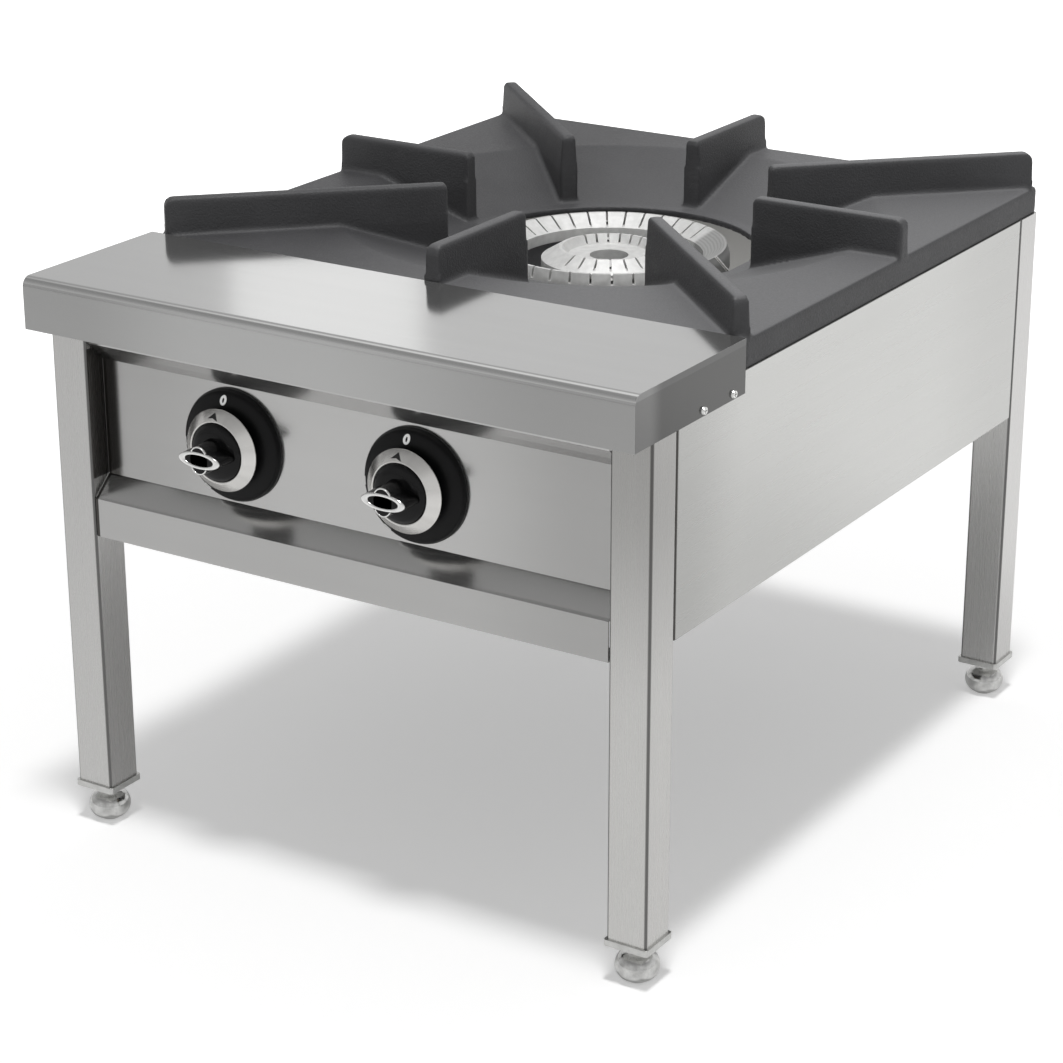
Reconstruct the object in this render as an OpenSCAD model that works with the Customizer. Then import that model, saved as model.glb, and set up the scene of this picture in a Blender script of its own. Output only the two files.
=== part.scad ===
// Stock pot range: a double ring gas burner in a low steel stand, under a dished cast iron grate.
// The origin is on the floor, midway between the stand's sides and midway from the shelf's front edge
// to the back of the legs. +X is to the right, +Y to the back and +Z up.

/* [Stand] */
// Width over the legs
stand_w = 600; // [590:5:680]
// Depth over the legs
stand_d = 724; // [690:2:800]
// Side of a leg's square tube
leg_w = 38; // [34:1:44]
// Wall of a leg's tube
leg_wall = 1.5; // [1:0.5:2.5]
// Outer corner radius of a leg's tube
leg_corner_r = 3; // [3:0.5:5]
// Height of a leg tube's lower end above the floor
leg_base_h = 40; // [36:1:46]
// Height of the deck that the grate stands on
deck_h = 494; // [460:2:600]
// Thickness of the cap in a back leg's upper end
leg_cap_t = 4; // [2:1:8]
// Width of a foot plate
foot_plate_w = 42; // [40:1:46]
// Thickness of a foot plate
foot_plate_t = 6; // [4:1:8]
// Height of the plug above a foot plate, inside the tube
foot_plug_h = 24; // [16:1:30]
// Play of a plug in its tube, all round
plug_play = 0.2; // [0.1:0.1:0.5]

/* [Levelling feet] */
// Radius of a foot's threaded stem
stem_r = 6; // [5:0.5:8]
// Radial running clearance of the stem in its plug
stem_play = 0.05; // [0.02:0.01:0.1]
// Length of the stem above the ball
stem_l = 44; // [40:1:60]
// Largest radius of the ball
ball_r = 19; // [16:0.5:22]
// Radius of the ball's flat base
ball_base_r = 14.5; // [10:0.5:15.5]
// Gap between the ball's top and the foot plate
ball_gap = 0.3; // [0.2:0.1:1]

/* [Panels] */
// Thickness of the sheet steel
sheet_t = 1.5; // [1:0.1:2]
// Height of a side panel
side_panel_h = 195; // [180:1:230]
// Width of the folded edge round a side or back panel
panel_edge = 22; // [15:1:26]
// Bend radius at the upright edges of a side panel
panel_bend_r = 3; // [3:0.5:5]
// Drop of the front panel's lower edge below the deck
front_drop = 209; // [205:1:240]
// Height of the rail under the control recess
rail_h = 35; // [30:1:45]
// Depth of the control recess
recess_d = 20; // [14:1:24]
// Height of the slope below the control face
low_slope_h = 18; // [12:1:24]
// Height of the control face
face_h = 105; // [104:1:116]
// Height of the slope above the control face
high_slope_h = 19; // [12:1:24]
// How far the front panel stands behind the legs' front faces
panel_inset = 1; // [0.5:0.5:3]
// Gap between the front panel and a leg
panel_gap = 0.8; // [0.4:0.1:2]
// Depth of the front panel's folded upper and lower edges
front_edge = 24; // [16:1:30]
// How far the back panel stands in front of the legs' back faces
back_inset = 30; // [26:1:36]

/* [Cross rails] */
// Thickness of a cross rail
rail_t = 2; // [1.5:0.5:4]
// Height of a cross rail
cross_rail_h = 30; // [20:1:40]
// Depth of the front cross rail's upper flange
front_rail_d = 35; // [30:1:50]
// Depth of the back cross rail's upper flange
back_rail_d = 40; // [36:1:60]
// Distance from the legs' front faces to the front cross rail
front_rail_y = 117; // [115:1:118]

/* [Shelf] */
// Overhang of the shelf in front of the legs
shelf_overhang = 30; // [20:1:60]
// Depth of the shelf behind the legs' front faces
shelf_back = 143; // [135:1:150]
// Height of the shelf's top above the deck
shelf_rise = 28; // [22:1:34]
// Height of the skirt round the shelf
skirt_h = 46; // [40:1:60]
// Outer radius of the bend at the shelf's front edge
shelf_bend_r = 9; // [5:1:15]
// Distance from the legs' front faces to the first screw of a side skirt
skirt_screw_y = 75; // [60:1:80]
// Pitch of the two screws of a side skirt
skirt_screw_pitch = 48; // [30:1:52]
// Height of the skirt screws above the skirt's lower edge
skirt_screw_rise = 5; // [4.5:0.5:9]
// Radius of a skirt screw's shank
skirt_screw_r = 2; // [1.5:0.5:3]
// Radius of a skirt screw's head
skirt_head_r = 3.7; // [3.4:0.1:4.5]
// Height of a skirt screw's head
skirt_head_h = 2.3; // [1.5:0.1:3]
// Length of a skirt screw's shank behind its head
skirt_screw_l = 11; // [8:1:16]

/* [Grate] */
// Gap between the shelf and the grate
grate_gap = 1; // [0.5:0.5:4]
// How far the grate's rim stands inside the legs' outer faces
grate_inset = 1; // [0.5:0.5:4]
// Height of the grate's rim
rim_h = 25; // [20:1:32]
// Thickness of the cast plate and of its rim
cast_t = 6; // [5:0.5:8]
// Corner radius of the plate
plate_corner_r = 6; // [3:1:12]
// Rounding of the plate's upper edges
plate_edge_r = 4; // [1:0.5:5]
// Radius of the upper edge of the dish
dish_r = 250; // [230:2:262]
// Depth of the dish
dish_drop = 33; // [25:1:38]
// Radius where the dish's slope meets the flat lip round the hole
lip_r = 148; // [144:1:160]
// Radius of the hole
hole_r = 136; // [130:1:140]
// Height of the ribs above the plate
rib_rise = 34; // [25:1:50]
// Distance from the hole's axis to a rib's inner end
rib_in_r = 152; // [150:1:170]
// Width of a rib at its foot
rib_foot_w = 17; // [14:0.5:20]
// Width of a rib at its top
rib_top_w = 13; // [10:0.5:16]
// Rounding of a rib's upper outer corner
rib_out_round = 9; // [5:1:14]
// Rounding of a rib's upper inner corner
rib_in_round = 5; // [3:1:8]
// Rounding along a rib's upper edges
rib_edge_r = 3.5; // [2:0.5:5]
// Setback of a corner rib's end from the plate's corner
corner_setback = 9; // [6:1:20]
// Length of a locating lug under the plate
lug_l = 30; // [20:1:50]
// Width of a locating lug
lug_w = 8; // [6:1:12]
// How far a lug reaches below the deck
lug_drop = 8; // [5:1:12]
// Play between a lug and the side panel's upper edge
lug_play = 2; // [1:0.5:4]

/* [Burner] */
// Outer radius of the outer ring cap
outer_cap_r = 111.5; // [110:0.5:116]
// Distance of the outer ring cap's crest inside its outer radius
outer_crest_in = 4.5; // [4:0.5:6]
// Width of the outer ring cap
outer_cap_w = 24.5; // [23:0.5:28]
// Drop of the outer ring cap's crest below the deck
outer_crest_drop = 5.5; // [4:0.5:10]
// Outer radius of the inner ring cap
inner_cap_r = 63; // [60:0.5:68]
// Distance of the inner ring cap's crest inside its outer radius
inner_crest_in = 18; // [15:0.5:20]
// Distance of the inner ring cap's flat inside its crest
inner_flat_in = 6.2; // [5:0.2:9]
// Radius of the hole through the inner ring
inner_hole_r = 18; // [15:0.5:20]
// Drop of the inner ring cap's crest below the deck
inner_crest_drop = 9.8; // [8:0.2:14]
// Height of the ring caps
cap_h = 20; // [17:0.5:24]
// Width of a ring cap's crest
crest_w = 3; // [2:0.2:3.6]
// Drop of a cap's outer slope, and of the outer ring cap's inner slope
slope_drop = 10; // [8:0.5:12]
// Drop of the inner ring cap's flat middle below its crest
inner_flat_drop = 8; // [6:0.2:9]
// Height of the slots' floors above the foot of the slopes
slot_lift = 0.5; // [0.3:0.1:1]
// How far a cap stands over its body's walls
cap_overhang = 1; // [0.5:0.5:2]
// Width of a slot
slot_w = 2; // [1.5:0.1:3]
// Number of slot places round the outer ring
outer_slots = 36; // [24:1:48]
// Number of slot places round the inner ring
inner_slots = 24; // [18:1:32]
// Angle of the first slot of both rings
slot_start = 2.3; // [0:0.1:10]
// Middle of the stretch without slots on the outer ring
outer_plain_mid = 18; // [0:1:359]
// Middle of the stretch without slots on the inner ring
inner_plain_mid = 205; // [0:1:359]
// Half the angle of the stretch without slots on both rings
plain_half = 40; // [20:1:60]
// Wall of the cast burner parts
burner_wall = 4; // [3:0.5:5]
// Height of the burner bodies under the caps
burner_body_h = 28; // [22:1:36]
// Depth of the lip under a cap
cap_lip_h = 4; // [3:0.5:6]
// Play between a cap's lip and its body
cap_lip_play = 0.6; // [0.3:0.1:1]
// Outer radius of a mixing tube
mixer_r = 19; // [17:0.5:19.5]
// Radius of a mixing tube's mouth
mouth_r = 24; // [20:0.5:26]
// Distance of each mixing tube from the middle plane
mixer_x = 42; // [41:0.5:44]
// Drop of the mixing tubes' axes below the burner bodies' floor
mixer_drop = 28; // [28:0.5:34]
// Distance from the legs' front faces to the mouths
mouth_y = 142; // [139:1:160]
// Width of a burner bar
bar_w = 25; // [20:1:28]
// Thickness of a burner bar
bar_t = 8; // [6:0.5:8]
// Distance of each burner bar from the burner's axis
bar_y = 45; // [42:1:50]
// Thickness of the tab at a burner bar's end
bar_tab_t = 4; // [3:1:6]
// Height of the tab at a burner bar's end
bar_tab_h = 30; // [20:1:40]

/* [Knobs and valves] */
// Place of the left knob's axis beside the middle plane
knob_left_x = -120; // [-160:1:-100]
// Place of the right knob's axis beside the middle plane
knob_right_x = 67; // [60:1:120]
// Outer radius of a bezel
bezel_r = 50; // [46:0.5:51]
// Height of a bezel's dome
bezel_h = 10.5; // [8:0.5:11]
// Thickness of a bezel's floor
bezel_floor_t = 2.5; // [2:0.5:4]
// Radius of the well inside a bezel
well_r = 24; // [22:0.5:28]
// Outer radius of a knob's silver ring
ring_out_r = 36.4; // [34:0.2:40]
// Inner radius of a knob's silver ring
ring_in_r = 27; // [25:0.5:29]
// Height of a knob's silver ring
ring_h = 8.5; // [7:0.5:10]
// Wall of a knob's silver ring
ring_t = 1.2; // [1:0.1:2]
// How far a knob can be pushed in
push_travel = 5; // [3:0.5:6]
// Gap left between knob and bezel when it is pushed in
push_gap = 2; // [1:0.5:3]
// Length of a knob, from the back of its ring to the grip's end
knob_l = 32.5; // [28:0.5:36]
// Half the length of the grip
grip_a = 21.4; // [18:0.2:24]
// Half the thickness of the grip
grip_b = 7.4; // [6:0.2:9]
// Half the width of the oval boss
boss_a = 10; // [8:0.5:11]
// Half the height of the oval boss
boss_b = 12.5; // [11:0.5:14]
// Width of the bright line round the boss
boss_line_w = 1.4; // [1:0.1:2]
// Half the length of the black oval inside the grip's bright outline
grip_core_a = 14.6; // [12:0.2:17]
// Half the thickness of the black oval inside the grip's bright outline
grip_core_b = 4.7; // [3:0.1:5.5]
// Thickness of the bright outline
trim_t = 1; // [0.5:0.1:2]
// Radius of a spindle
spindle_r = 4; // [3.5:0.1:5]
// Radial running clearance of spindles and plugs
valve_play = 0.05; // [0.02:0.01:0.1]
// Side of the square on a spindle's inner end
spindle_square = 5.6; // [4.8:0.1:5.6]
// Gap between a spindle and the holes in front of its valve
spindle_gap = 2; // [1:0.5:3]
// Length of the spindle's square
spindle_square_l = 22; // [18:1:26]
// Outer radius of a valve body's barrel
barrel_r = 15; // [13:0.5:18]
// Length of a valve body's barrel
barrel_l = 54; // [50:1:60]
// Radius of a valve plug
plug_r = 8.5; // [7.5:0.5:10]
// Length of a valve plug
plug_l = 34; // [32:1:38]
// Depth of a valve plug's front end behind the control face
plug_depth = 14; // [13:0.5:16]
// Gap between a plug's ends and its body
plug_end_gap = 2; // [1:0.5:3]
// Width of a valve body's saddle on the manifold
saddle_w = 26; // [22:1:28]
// Wall of the saddle round the manifold
saddle_wall = 3; // [2:0.5:5]
// Width of a valve body's flange
flange_w = 46; // [42:1:50]
// Height of a valve body's flange
flange_h = 26; // [20:1:32]
// Thickness of a valve body's flange
flange_t = 4; // [3:1:6]
// Distance of each valve screw from the spindle's axis
valve_screw_x = 17; // [16:0.5:18]
// Radius of a valve screw's shank
valve_screw_r = 2; // [1.5:0.5:2.5]
// Radius of a valve screw's head
valve_head_r = 3.8; // [3.4:0.1:4.2]

/* [Gas train] */
// Outer radius of the manifold
manifold_r = 10.65; // [9:0.05:12]
// Wall of the manifold
manifold_wall = 2.6; // [2:0.1:3]
// Drop of the manifold below the knobs' axes
manifold_drop = 40; // [34:1:44]
// Distance from the control face to the manifold's axis
manifold_y = 38; // [36:1:42]
// Length of the manifold beyond the left valve
manifold_end = 35; // [25:1:50]
// Distance of the manifold's run to the back from the legs' inner faces
manifold_side = 27; // [24:1:60]
// Bend radius of the manifold
manifold_bend_r = 30; // [25:1:40]
// Radius of the thread on the gas inlet
inlet_r = 10.48; // [9:0.01:14]
// Length of the thread on the gas inlet
inlet_thread_l = 15; // [12:1:20]
// Length of the gas inlet's hexagon
inlet_hex_l = 9; // [8:1:12]
// Width over the corners of the gas inlet's hexagon
inlet_hex_w = 31; // [28:1:34]
// How far the gas inlet ends in front of the legs' back faces
inlet_inset = 3; // [2:1:6]
// Outer radius of a supply pipe
supply_r = 4; // [3:0.5:5]
// Radius of an injector's barrel
injector_r = 8; // [7:0.5:9]
// Radius of an injector's nozzle
nozzle_r = 4; // [3:0.5:5]
// Distance from the legs' front faces to an injector's back end
injector_y = 110; // [106:1:114]
// Length of an injector's barrel
injector_l = 27; // [26:1:30]
// Length of an injector's nozzle
nozzle_l = 8; // [6:1:12]
// Radius of an air shutter
shutter_r = 22; // [18:0.5:24]
// Thickness of an air shutter
shutter_t = 2.5; // [2:0.5:4]
// Thickness of the injector bracket
bracket_t = 3; // [2:0.5:4]
// Half the width of the injector bracket
bracket_half_w = 75; // [62:1:90]
// Gap between the manifold and the hole in the back panel
pipe_gap = 1; // [0.5:0.5:3]
// Radius of a thermocouple's probe
probe_r = 1.6; // [1.5:0.1:2]
// Distance of the outer probe's tip from the outer ring
tip_gap = 3.5; // [3:0.5:6]
// Height of the outer probe's tip above the outer ring's crest
tip_rise = 4; // [2:0.5:8]
// Distance of the outer probe's tip in front of the burner's axis
tip_y = 5; // [0:1:12]
// Sideways lean of the outer probe
lean_x = 35; // [30:1:40]
// Backward lean of the outer probe
lean_y = 21; // [16:1:26]
// Width of the strips that hold the probes
strip_w = 20; // [14:1:22]
// Radius of a thermocouple's lead
lead_r = 1.3; // [1:0.1:1.5]
// Distance from the legs' front faces to the plane where the leads cross
lead_y = 110; // [108:0.5:110]
// Distance of a lead's end from its valve's axis
lead_x = 9.5; // [9:0.5:12]
// Drop of the outer probe's lead below the knobs' axes
lead_drop = 11; // [8:1:16]
// Gap between the inner probe's lead and the mixing tubes above it
lead_gap = 9; // [6:1:12]

/* [Hidden] */
$fn = 96;
left = -1;
right = 1;
front = -1;
back = 1;
// Overrun of every cut past the face it opens
over = 1;

// Planes of the stand
plate_overhang = (foot_plate_w - leg_w) / 2;
front_y = shelf_overhang - (shelf_overhang + stand_d + plate_overhang) / 2;
back_y = front_y + stand_d;
inner_x = stand_w / 2 - leg_w;
face_y = front_y + panel_inset + recess_d;
shelf_top = deck_h + shelf_rise;
skirt_base = shelf_top - skirt_h;
shelf_back_y = front_y + shelf_back;
panel_base = deck_h - side_panel_h;
front_base = deck_h - front_drop;
face_base = front_base + rail_h + low_slope_h;
knob_z = face_base + face_h / 2;

// The grate and the burner share one upright axis
grate_w = stand_w - 2 * grate_inset;
grate_front_y = shelf_back_y + grate_gap;
grate_d = back_y - grate_front_y;
axis_y = (grate_front_y + back_y) / 2;
plate_top = deck_h + rim_h;
lip_top = plate_top - dish_drop;
rib_top = plate_top + rib_rise;

// Radii of the ring caps, from the outer edge inwards
outer_crest_r = outer_cap_r - outer_crest_in;
outer_cap_in_r = outer_cap_r - outer_cap_w;
outer_mid_r = outer_cap_r - outer_cap_w / 2;
inner_crest_r = inner_cap_r - inner_crest_in;
inner_flat_r = inner_crest_r - inner_flat_in;

// Heights in the burner
outer_crest_z = deck_h - outer_crest_drop;
inner_crest_z = deck_h - inner_crest_drop;
outer_seat_z = outer_crest_z - cap_h;
inner_seat_z = inner_crest_z - cap_h;
burner_floor_z = outer_seat_z - burner_body_h;
mixer_z = burner_floor_z - mixer_drop;
mouth_plane_y = front_y + mouth_y;

// Planes in front of and behind the control face, measured along a knob's axis
knob_back_h = bezel_h + push_travel + push_gap;
shoulder_h = knob_back_h + ring_h;
grip_end_h = knob_back_h + knob_l - trim_t;
spindle_step_h = push_travel + push_gap - plug_depth;
barrel_front_h = -sheet_t - flange_t;
barrel_back_h = barrel_front_h - barrel_l;
barrel_back_y = face_y - barrel_back_h;
manifold_x = inner_x - manifold_side;
manifold_z = knob_z - manifold_drop;

// Shares of a foot: radius and height of its bulge, height and flare of its base
bulge_share = 0.44;
bulge_z_share = 0.48;
base_share = 0.16;
flare_share = 1.1;
// Shares of a screw head: upper radius, and length and width of its cross recess
head_top_share = 0.8;
cross_l_share = 1.3;
cross_w_share = 0.25;
// Share of a ring cap's wall above its hollow
crown_share = 1.3;
// Radius and height shares of a bezel's outline, from its edge inwards
bezel_shares = [[1, 0.25], [0.965, 0.43], [0.8, 0.78], [0.6, 0.97]];
// Radius and height shares of a knob's hub above its ring, from the ring inwards
hub_shares = [[0.8, 0.2], [0.5, 0.35], [0, 0.4]];
// Shares of a union nut: its length and radius
nut_l_share = 2;
nut_r_share = 1.8;
// Share of a pipe's elbow over its radius
elbow_share = 1.1;
// Share of a probe's nut over its radius
probe_nut_share = 2.5;
// Shares of the bores in a supply pipe's fittings
outlet_share = 0.5;
jet_share = 0.2;

// Square with true round corners, about its centre
module round_rect(w, d, r) {
    square([w - 2 * r, d], center = true);
    square([w, d - 2 * r], center = true);
    for (x = [-1, 1], y = [-1, 1])
        translate([x * (w / 2 - r), y * (d / 2 - r)]) circle(r);
}

// Unit direction, left-hand normal and mitred offset of a bent line
function unit(v) = v / norm(v);
function normal(a, b) = let (d = unit(b - a)) [-d.y, d.x];
function offset_point(p, i, t) =
    i == 0 ? p[0] + t * normal(p[0], p[1]) :
    i == len(p) - 1 ? p[i] + t * normal(p[i - 1], p[i]) :
    let (n1 = normal(p[i - 1], p[i]), n2 = normal(p[i], p[i + 1])) p[i] + t * (n1 + n2) / (1 + n1 * n2);
function sheet_outline(p, t) =
    concat(p, [for (i = [len(p) - 1:-1:0]) offset_point(p, i, t)]);

// Sheet folded along a line in the YZ plane, w wide across the stand
module folded_sheet(p, t, w) {
    rotate([90, 0, 90]) linear_extrude(w, center = true) polygon(sheet_outline(p, t));
}

// Round elbow between two runs, its poles square to both and its front turned away from them
module elbow(before, at, after, r) {
    a = unit(at - before);
    b = unit(after - at);
    z = unit(cross(a, b));
    x = unit(a - b);
    y = cross(z, x);
    multmatrix([[x.x, y.x, z.x, at.x], [x.y, y.y, z.y, at.y], [x.z, y.z, z.z, at.z], [0, 0, 0, 1]])
        sphere(r, $fn = 32);
}

// Round bar or pipe through a list of points
module run_through(points, r) {
    for (i = [0:len(points) - 2]) {
        d = points[i + 1] - points[i];
        translate(points[i])
            rotate([0, acos(d.z / norm(d)), atan2(d.y, d.x)]) cylinder(norm(d), r = r, $fn = 32);
    }
    for (i = [0:len(points) - 1]) if (i > 0 && i < len(points) - 1)
        elbow(points[i - 1], points[i], points[i + 1], elbow_share * r);
}

// Frame of a knob: +X to the right, +Y up, +Z out of the control face
module on_face(x) {
    translate([x, face_y, knob_z]) rotate([90, 0, 0]) children();
}

module oval(a, b) {
    scale([1, b / a]) circle(a, $fn = 72);
}

module place_leg(side, end) {
    translate([side * (stand_w - leg_w) / 2, end == front ? front_y + leg_w / 2 : back_y - leg_w / 2, 0])
        children();
}

// Square tube from the foot plate to the shelf or to the deck
module leg(side, end) {
    top = end == front ? shelf_top - sheet_t : deck_h;
    inner_w = leg_w - 2 * leg_wall;
    color("silver") place_leg(side, end) translate([0, 0, leg_base_h]) difference() {
        linear_extrude(top - leg_base_h) round_rect(leg_w, leg_w, leg_corner_r);
        translate([0, 0, -over])
            linear_extrude(top - leg_base_h + 2 * over) round_rect(inner_w, inner_w, leg_corner_r - leg_wall);
    }
}

// Plug that closes a back leg under the grate's rim
module leg_cap(side) {
    w = leg_w - 2 * leg_wall - 2 * plug_play;
    color("dimgray") place_leg(side, back) translate([0, 0, deck_h - leg_cap_t])
        linear_extrude(leg_cap_t) round_rect(w, w, leg_corner_r - leg_wall);
}

// Plate with a threaded plug that fills the tube's end
module foot_plate(side, end) {
    plug_w = leg_w - 2 * leg_wall - 2 * plug_play;
    color("gainsboro") place_leg(side, end) translate([0, 0, leg_base_h - foot_plate_t]) difference() {
        union() {
            linear_extrude(foot_plate_t) round_rect(foot_plate_w, foot_plate_w, leg_corner_r);
            linear_extrude(foot_plate_t + foot_plug_h) round_rect(plug_w, plug_w, leg_corner_r - leg_wall);
        }
        translate([0, 0, -over]) cylinder(foot_plate_t + foot_plug_h + 2 * over, r = stem_r + stem_play);
    }
}

// Ball-shaped levelling foot turned in one piece with its stem
module foot(side, end) {
    ball_h = leg_base_h - foot_plate_t - ball_gap;
    bulge_r = ball_h * bulge_share;
    bulge_z = ball_h * bulge_z_share;
    base_h = ball_h * base_share;
    color("gainsboro") place_leg(side, end) {
        rotate_extrude() intersection() {
            union() {
                translate([ball_r - bulge_r, bulge_z]) circle(bulge_r);
                square([ball_r - bulge_r, ball_h]);
            }
            square([ball_r, ball_h]);
        }
        cylinder(base_h, r1 = ball_base_r, r2 = ball_base_r * flare_share);
        translate([0, 0, ball_h - over]) cylinder(stem_l + over, r = stem_r);
    }
}

// Line of the front panel's outer face, from its lower edge up to the shelf
function front_line() = let (
    y0 = front_y + panel_inset,
    y1 = face_y,
    z1 = front_base + rail_h,
    z2 = face_base + face_h
) [
    [y0 + front_edge, front_base], [y0, front_base], [y0, z1], [y1, face_base], [y1, z2],
    [y0, z2 + high_slope_h], [y0, shelf_top - sheet_t], [y0 + front_edge, shelf_top - sheet_t]
];

// Rail, control recess and slopes folded from one sheet
module front_panel() {
    w = 2 * (inner_x - panel_gap);
    color("silver") difference() {
        union() {
            folded_sheet(front_line(), -sheet_t, w);
            // The lower edge is wider and meets the legs
            translate([-inner_x, front_y + panel_inset + sheet_t, front_base])
                cube([2 * inner_x, front_edge - sheet_t, sheet_t]);
        }
        for (x = [knob_left_x, knob_right_x]) on_face(x) translate([0, 0, -sheet_t - over]) {
            cylinder(sheet_t + 2 * over, r = spindle_r + spindle_gap);
            for (s = [-1, 1])
                translate([s * valve_screw_x, 0, 0]) cylinder(sheet_t + 2 * over, r = valve_screw_r);
        }
    }
}

// Tray with folded edges all round, open to the inside
module side_panel(side) {
    l = stand_d - 2 * leg_w;
    color("silver") difference() {
        translate([side * (stand_w / 2 - panel_edge / 2), front_y + leg_w + l / 2, panel_base])
            linear_extrude(side_panel_h) intersection() {
                translate([-side * panel_bend_r, 0]) round_rect(panel_edge + 2 * panel_bend_r, l, panel_bend_r);
                square([panel_edge, l], center = true);
            }
        translate([side * (stand_w / 2 - sheet_t - panel_edge / 2) - panel_edge / 2,
            front_y + leg_w + sheet_t, panel_base + sheet_t])
            cube([panel_edge, l - 2 * sheet_t, side_panel_h - 2 * sheet_t]);
        skirt_screw_places(side) cylinder(4 * sheet_t, r = skirt_screw_r, center = true);
    }
}

// Tray between the back legs, with the hole for the gas inlet
module back_panel() {
    h = side_panel_h - rail_t;
    y = back_y - back_inset;
    color("silver") difference() {
        translate([-inner_x, y - panel_edge, panel_base]) cube([2 * inner_x, panel_edge, h]);
        translate([-inner_x + sheet_t, y - panel_edge - over, panel_base + sheet_t])
            cube([2 * (inner_x - sheet_t), panel_edge + over - sheet_t, h - 2 * sheet_t]);
        translate([manifold_x, y + over, manifold_z])
            rotate([90, 0, 0]) cylinder(sheet_t + 2 * over, r = manifold_r + pipe_gap);
    }
}

// Angle under the side panels' upper edges, behind the shelf
module front_cross_rail() {
    w = stand_w - 2 * sheet_t;
    top = deck_h - sheet_t;
    color("darkgray") translate([-w / 2, front_y + front_rail_y, 0]) {
        translate([0, 0, top - cross_rail_h]) cube([w, rail_t, cross_rail_h]);
        translate([0, 0, top - rail_t]) cube([w, front_rail_d, rail_t]);
    }
}

// Angle between the back legs that carries the grate's back rim
module back_cross_rail() {
    color("silver") {
        translate([-inner_x, back_y - rail_t, deck_h - cross_rail_h]) cube([2 * inner_x, rail_t, cross_rail_h]);
        translate([-inner_x, back_y - back_rail_d, deck_h - rail_t]) cube([2 * inner_x, back_rail_d, rail_t]);
    }
}

// Flat bar under the burner with a tab on each side panel
module burner_bar(end) {
    w = stand_w - 2 * sheet_t;
    color("darkgray") translate([0, axis_y + end * bar_y - bar_w / 2, burner_floor_z - bar_t]) {
        translate([-w / 2, 0, 0]) cube([w, bar_w, bar_t]);
        for (side = [left, right])
            translate([side * (w - bar_tab_t) / 2 - bar_tab_t / 2, 0, 0]) cube([bar_tab_t, bar_w, bar_tab_h]);
    }
}

// Section of the shelf's top and front skirt, filled
module shelf_section(inset) {
    l = shelf_overhang + shelf_back - inset;
    r = shelf_bend_r - inset;
    top = shelf_top - inset;
    y0 = front_y - shelf_overhang + inset;
    translate([y0 + r, skirt_base]) square([l - r, top - skirt_base]);
    translate([y0, skirt_base]) square([l, top - skirt_base - r]);
    translate([y0 + r, top - r]) circle(r);
}

// Places of a side skirt's screws, with +Z out of the skirt
module skirt_screw_places(side) {
    for (i = [0, 1])
        translate([side * stand_w / 2, front_y + skirt_screw_y + i * skirt_screw_pitch,
            skirt_base + skirt_screw_rise])
            rotate([0, side * 90, 0]) children();
}

// Top, rounded front edge, skirts and back edge folded from one sheet
module shelf() {
    w = stand_w + 2 * sheet_t;
    color("gainsboro") difference() {
        rotate([90, 0, 90]) linear_extrude(w, center = true) shelf_section(0);
        rotate([90, 0, 90]) linear_extrude(stand_w, center = true) difference() {
            union() {
                shelf_section(sheet_t);
                translate([front_y - shelf_overhang + sheet_t, skirt_base - over])
                    square([shelf_overhang + shelf_back - sheet_t, 2 * over]);
            }
            translate([shelf_back_y - sheet_t, deck_h]) square([sheet_t, shelf_rise]);
        }
        translate([-stand_w / 2, shelf_back_y - 2 * sheet_t, skirt_base - over])
            cube([stand_w, 2 * sheet_t + over, deck_h - skirt_base + over]);
        for (side = [left, right])
            skirt_screw_places(side) cylinder(4 * sheet_t, r = skirt_screw_r, center = true);
    }
}

// Pan head screws with a cross recess, two on each side
module skirt_screws() {
    slot_l = cross_l_share * skirt_head_r;
    slot_t = cross_w_share * skirt_head_r;
    color("silver") for (side = [left, right]) skirt_screw_places(side) translate([0, 0, sheet_t]) {
        difference() {
            cylinder(skirt_head_h, r1 = skirt_head_r, r2 = head_top_share * skirt_head_r);
            for (a = [0, 90]) rotate(a)
                translate([-slot_l / 2, -slot_t / 2, skirt_head_h / 2]) cube([slot_l, slot_t, skirt_head_h]);
        }
        translate([0, 0, -skirt_screw_l]) cylinder(skirt_screw_l, r = skirt_screw_r);
    }
}

module plate_outline(inset) {
    round_rect(grate_w - 2 * inset, grate_d - 2 * inset, max(plate_corner_r - inset, cast_t / 4));
}

// Upright section along a rib, from the hole outwards, its foot inside the plate
module rib_side(out_r) {
    polygon([
        [rib_in_r, lip_top - cast_t / 2], [dish_r, plate_top - cast_t / 2], [out_r, plate_top - cast_t / 2],
        [out_r, rib_top - rib_out_round], [out_r - rib_out_round, rib_top],
        [rib_in_r + rib_in_round, rib_top], [rib_in_r, rib_top - rib_in_round]
    ]);
    translate([out_r - rib_out_round, rib_top - rib_out_round]) circle(rib_out_round);
    translate([rib_in_r + rib_in_round, rib_top - rib_in_round]) circle(rib_in_round);
}

// Section across a rib: tapered sides with rounded upper edges
module rib_section() {
    base = lip_top - cast_t;
    foot_half = rib_foot_w / 2;
    top_half = rib_top_w / 2;
    polygon([
        [-foot_half, base], [foot_half, base], [foot_half, plate_top], [top_half, rib_top - rib_edge_r],
        [-top_half, rib_top - rib_edge_r], [-foot_half, plate_top]
    ]);
    translate([-top_half + rib_edge_r, base]) square([rib_top_w - 2 * rib_edge_r, rib_top - base]);
    for (s = [-1, 1]) translate([s * (top_half - rib_edge_r), rib_top - rib_edge_r]) circle(rib_edge_r, $fn = 48);
}

module rib(angle, out_r) {
    rotate(angle) intersection() {
        rotate([90, 0, 0]) linear_extrude(2 * rib_foot_w, center = true) rib_side(out_r);
        rotate([90, 0, 90]) linear_extrude(out_r + over) rib_section();
    }
}

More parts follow.
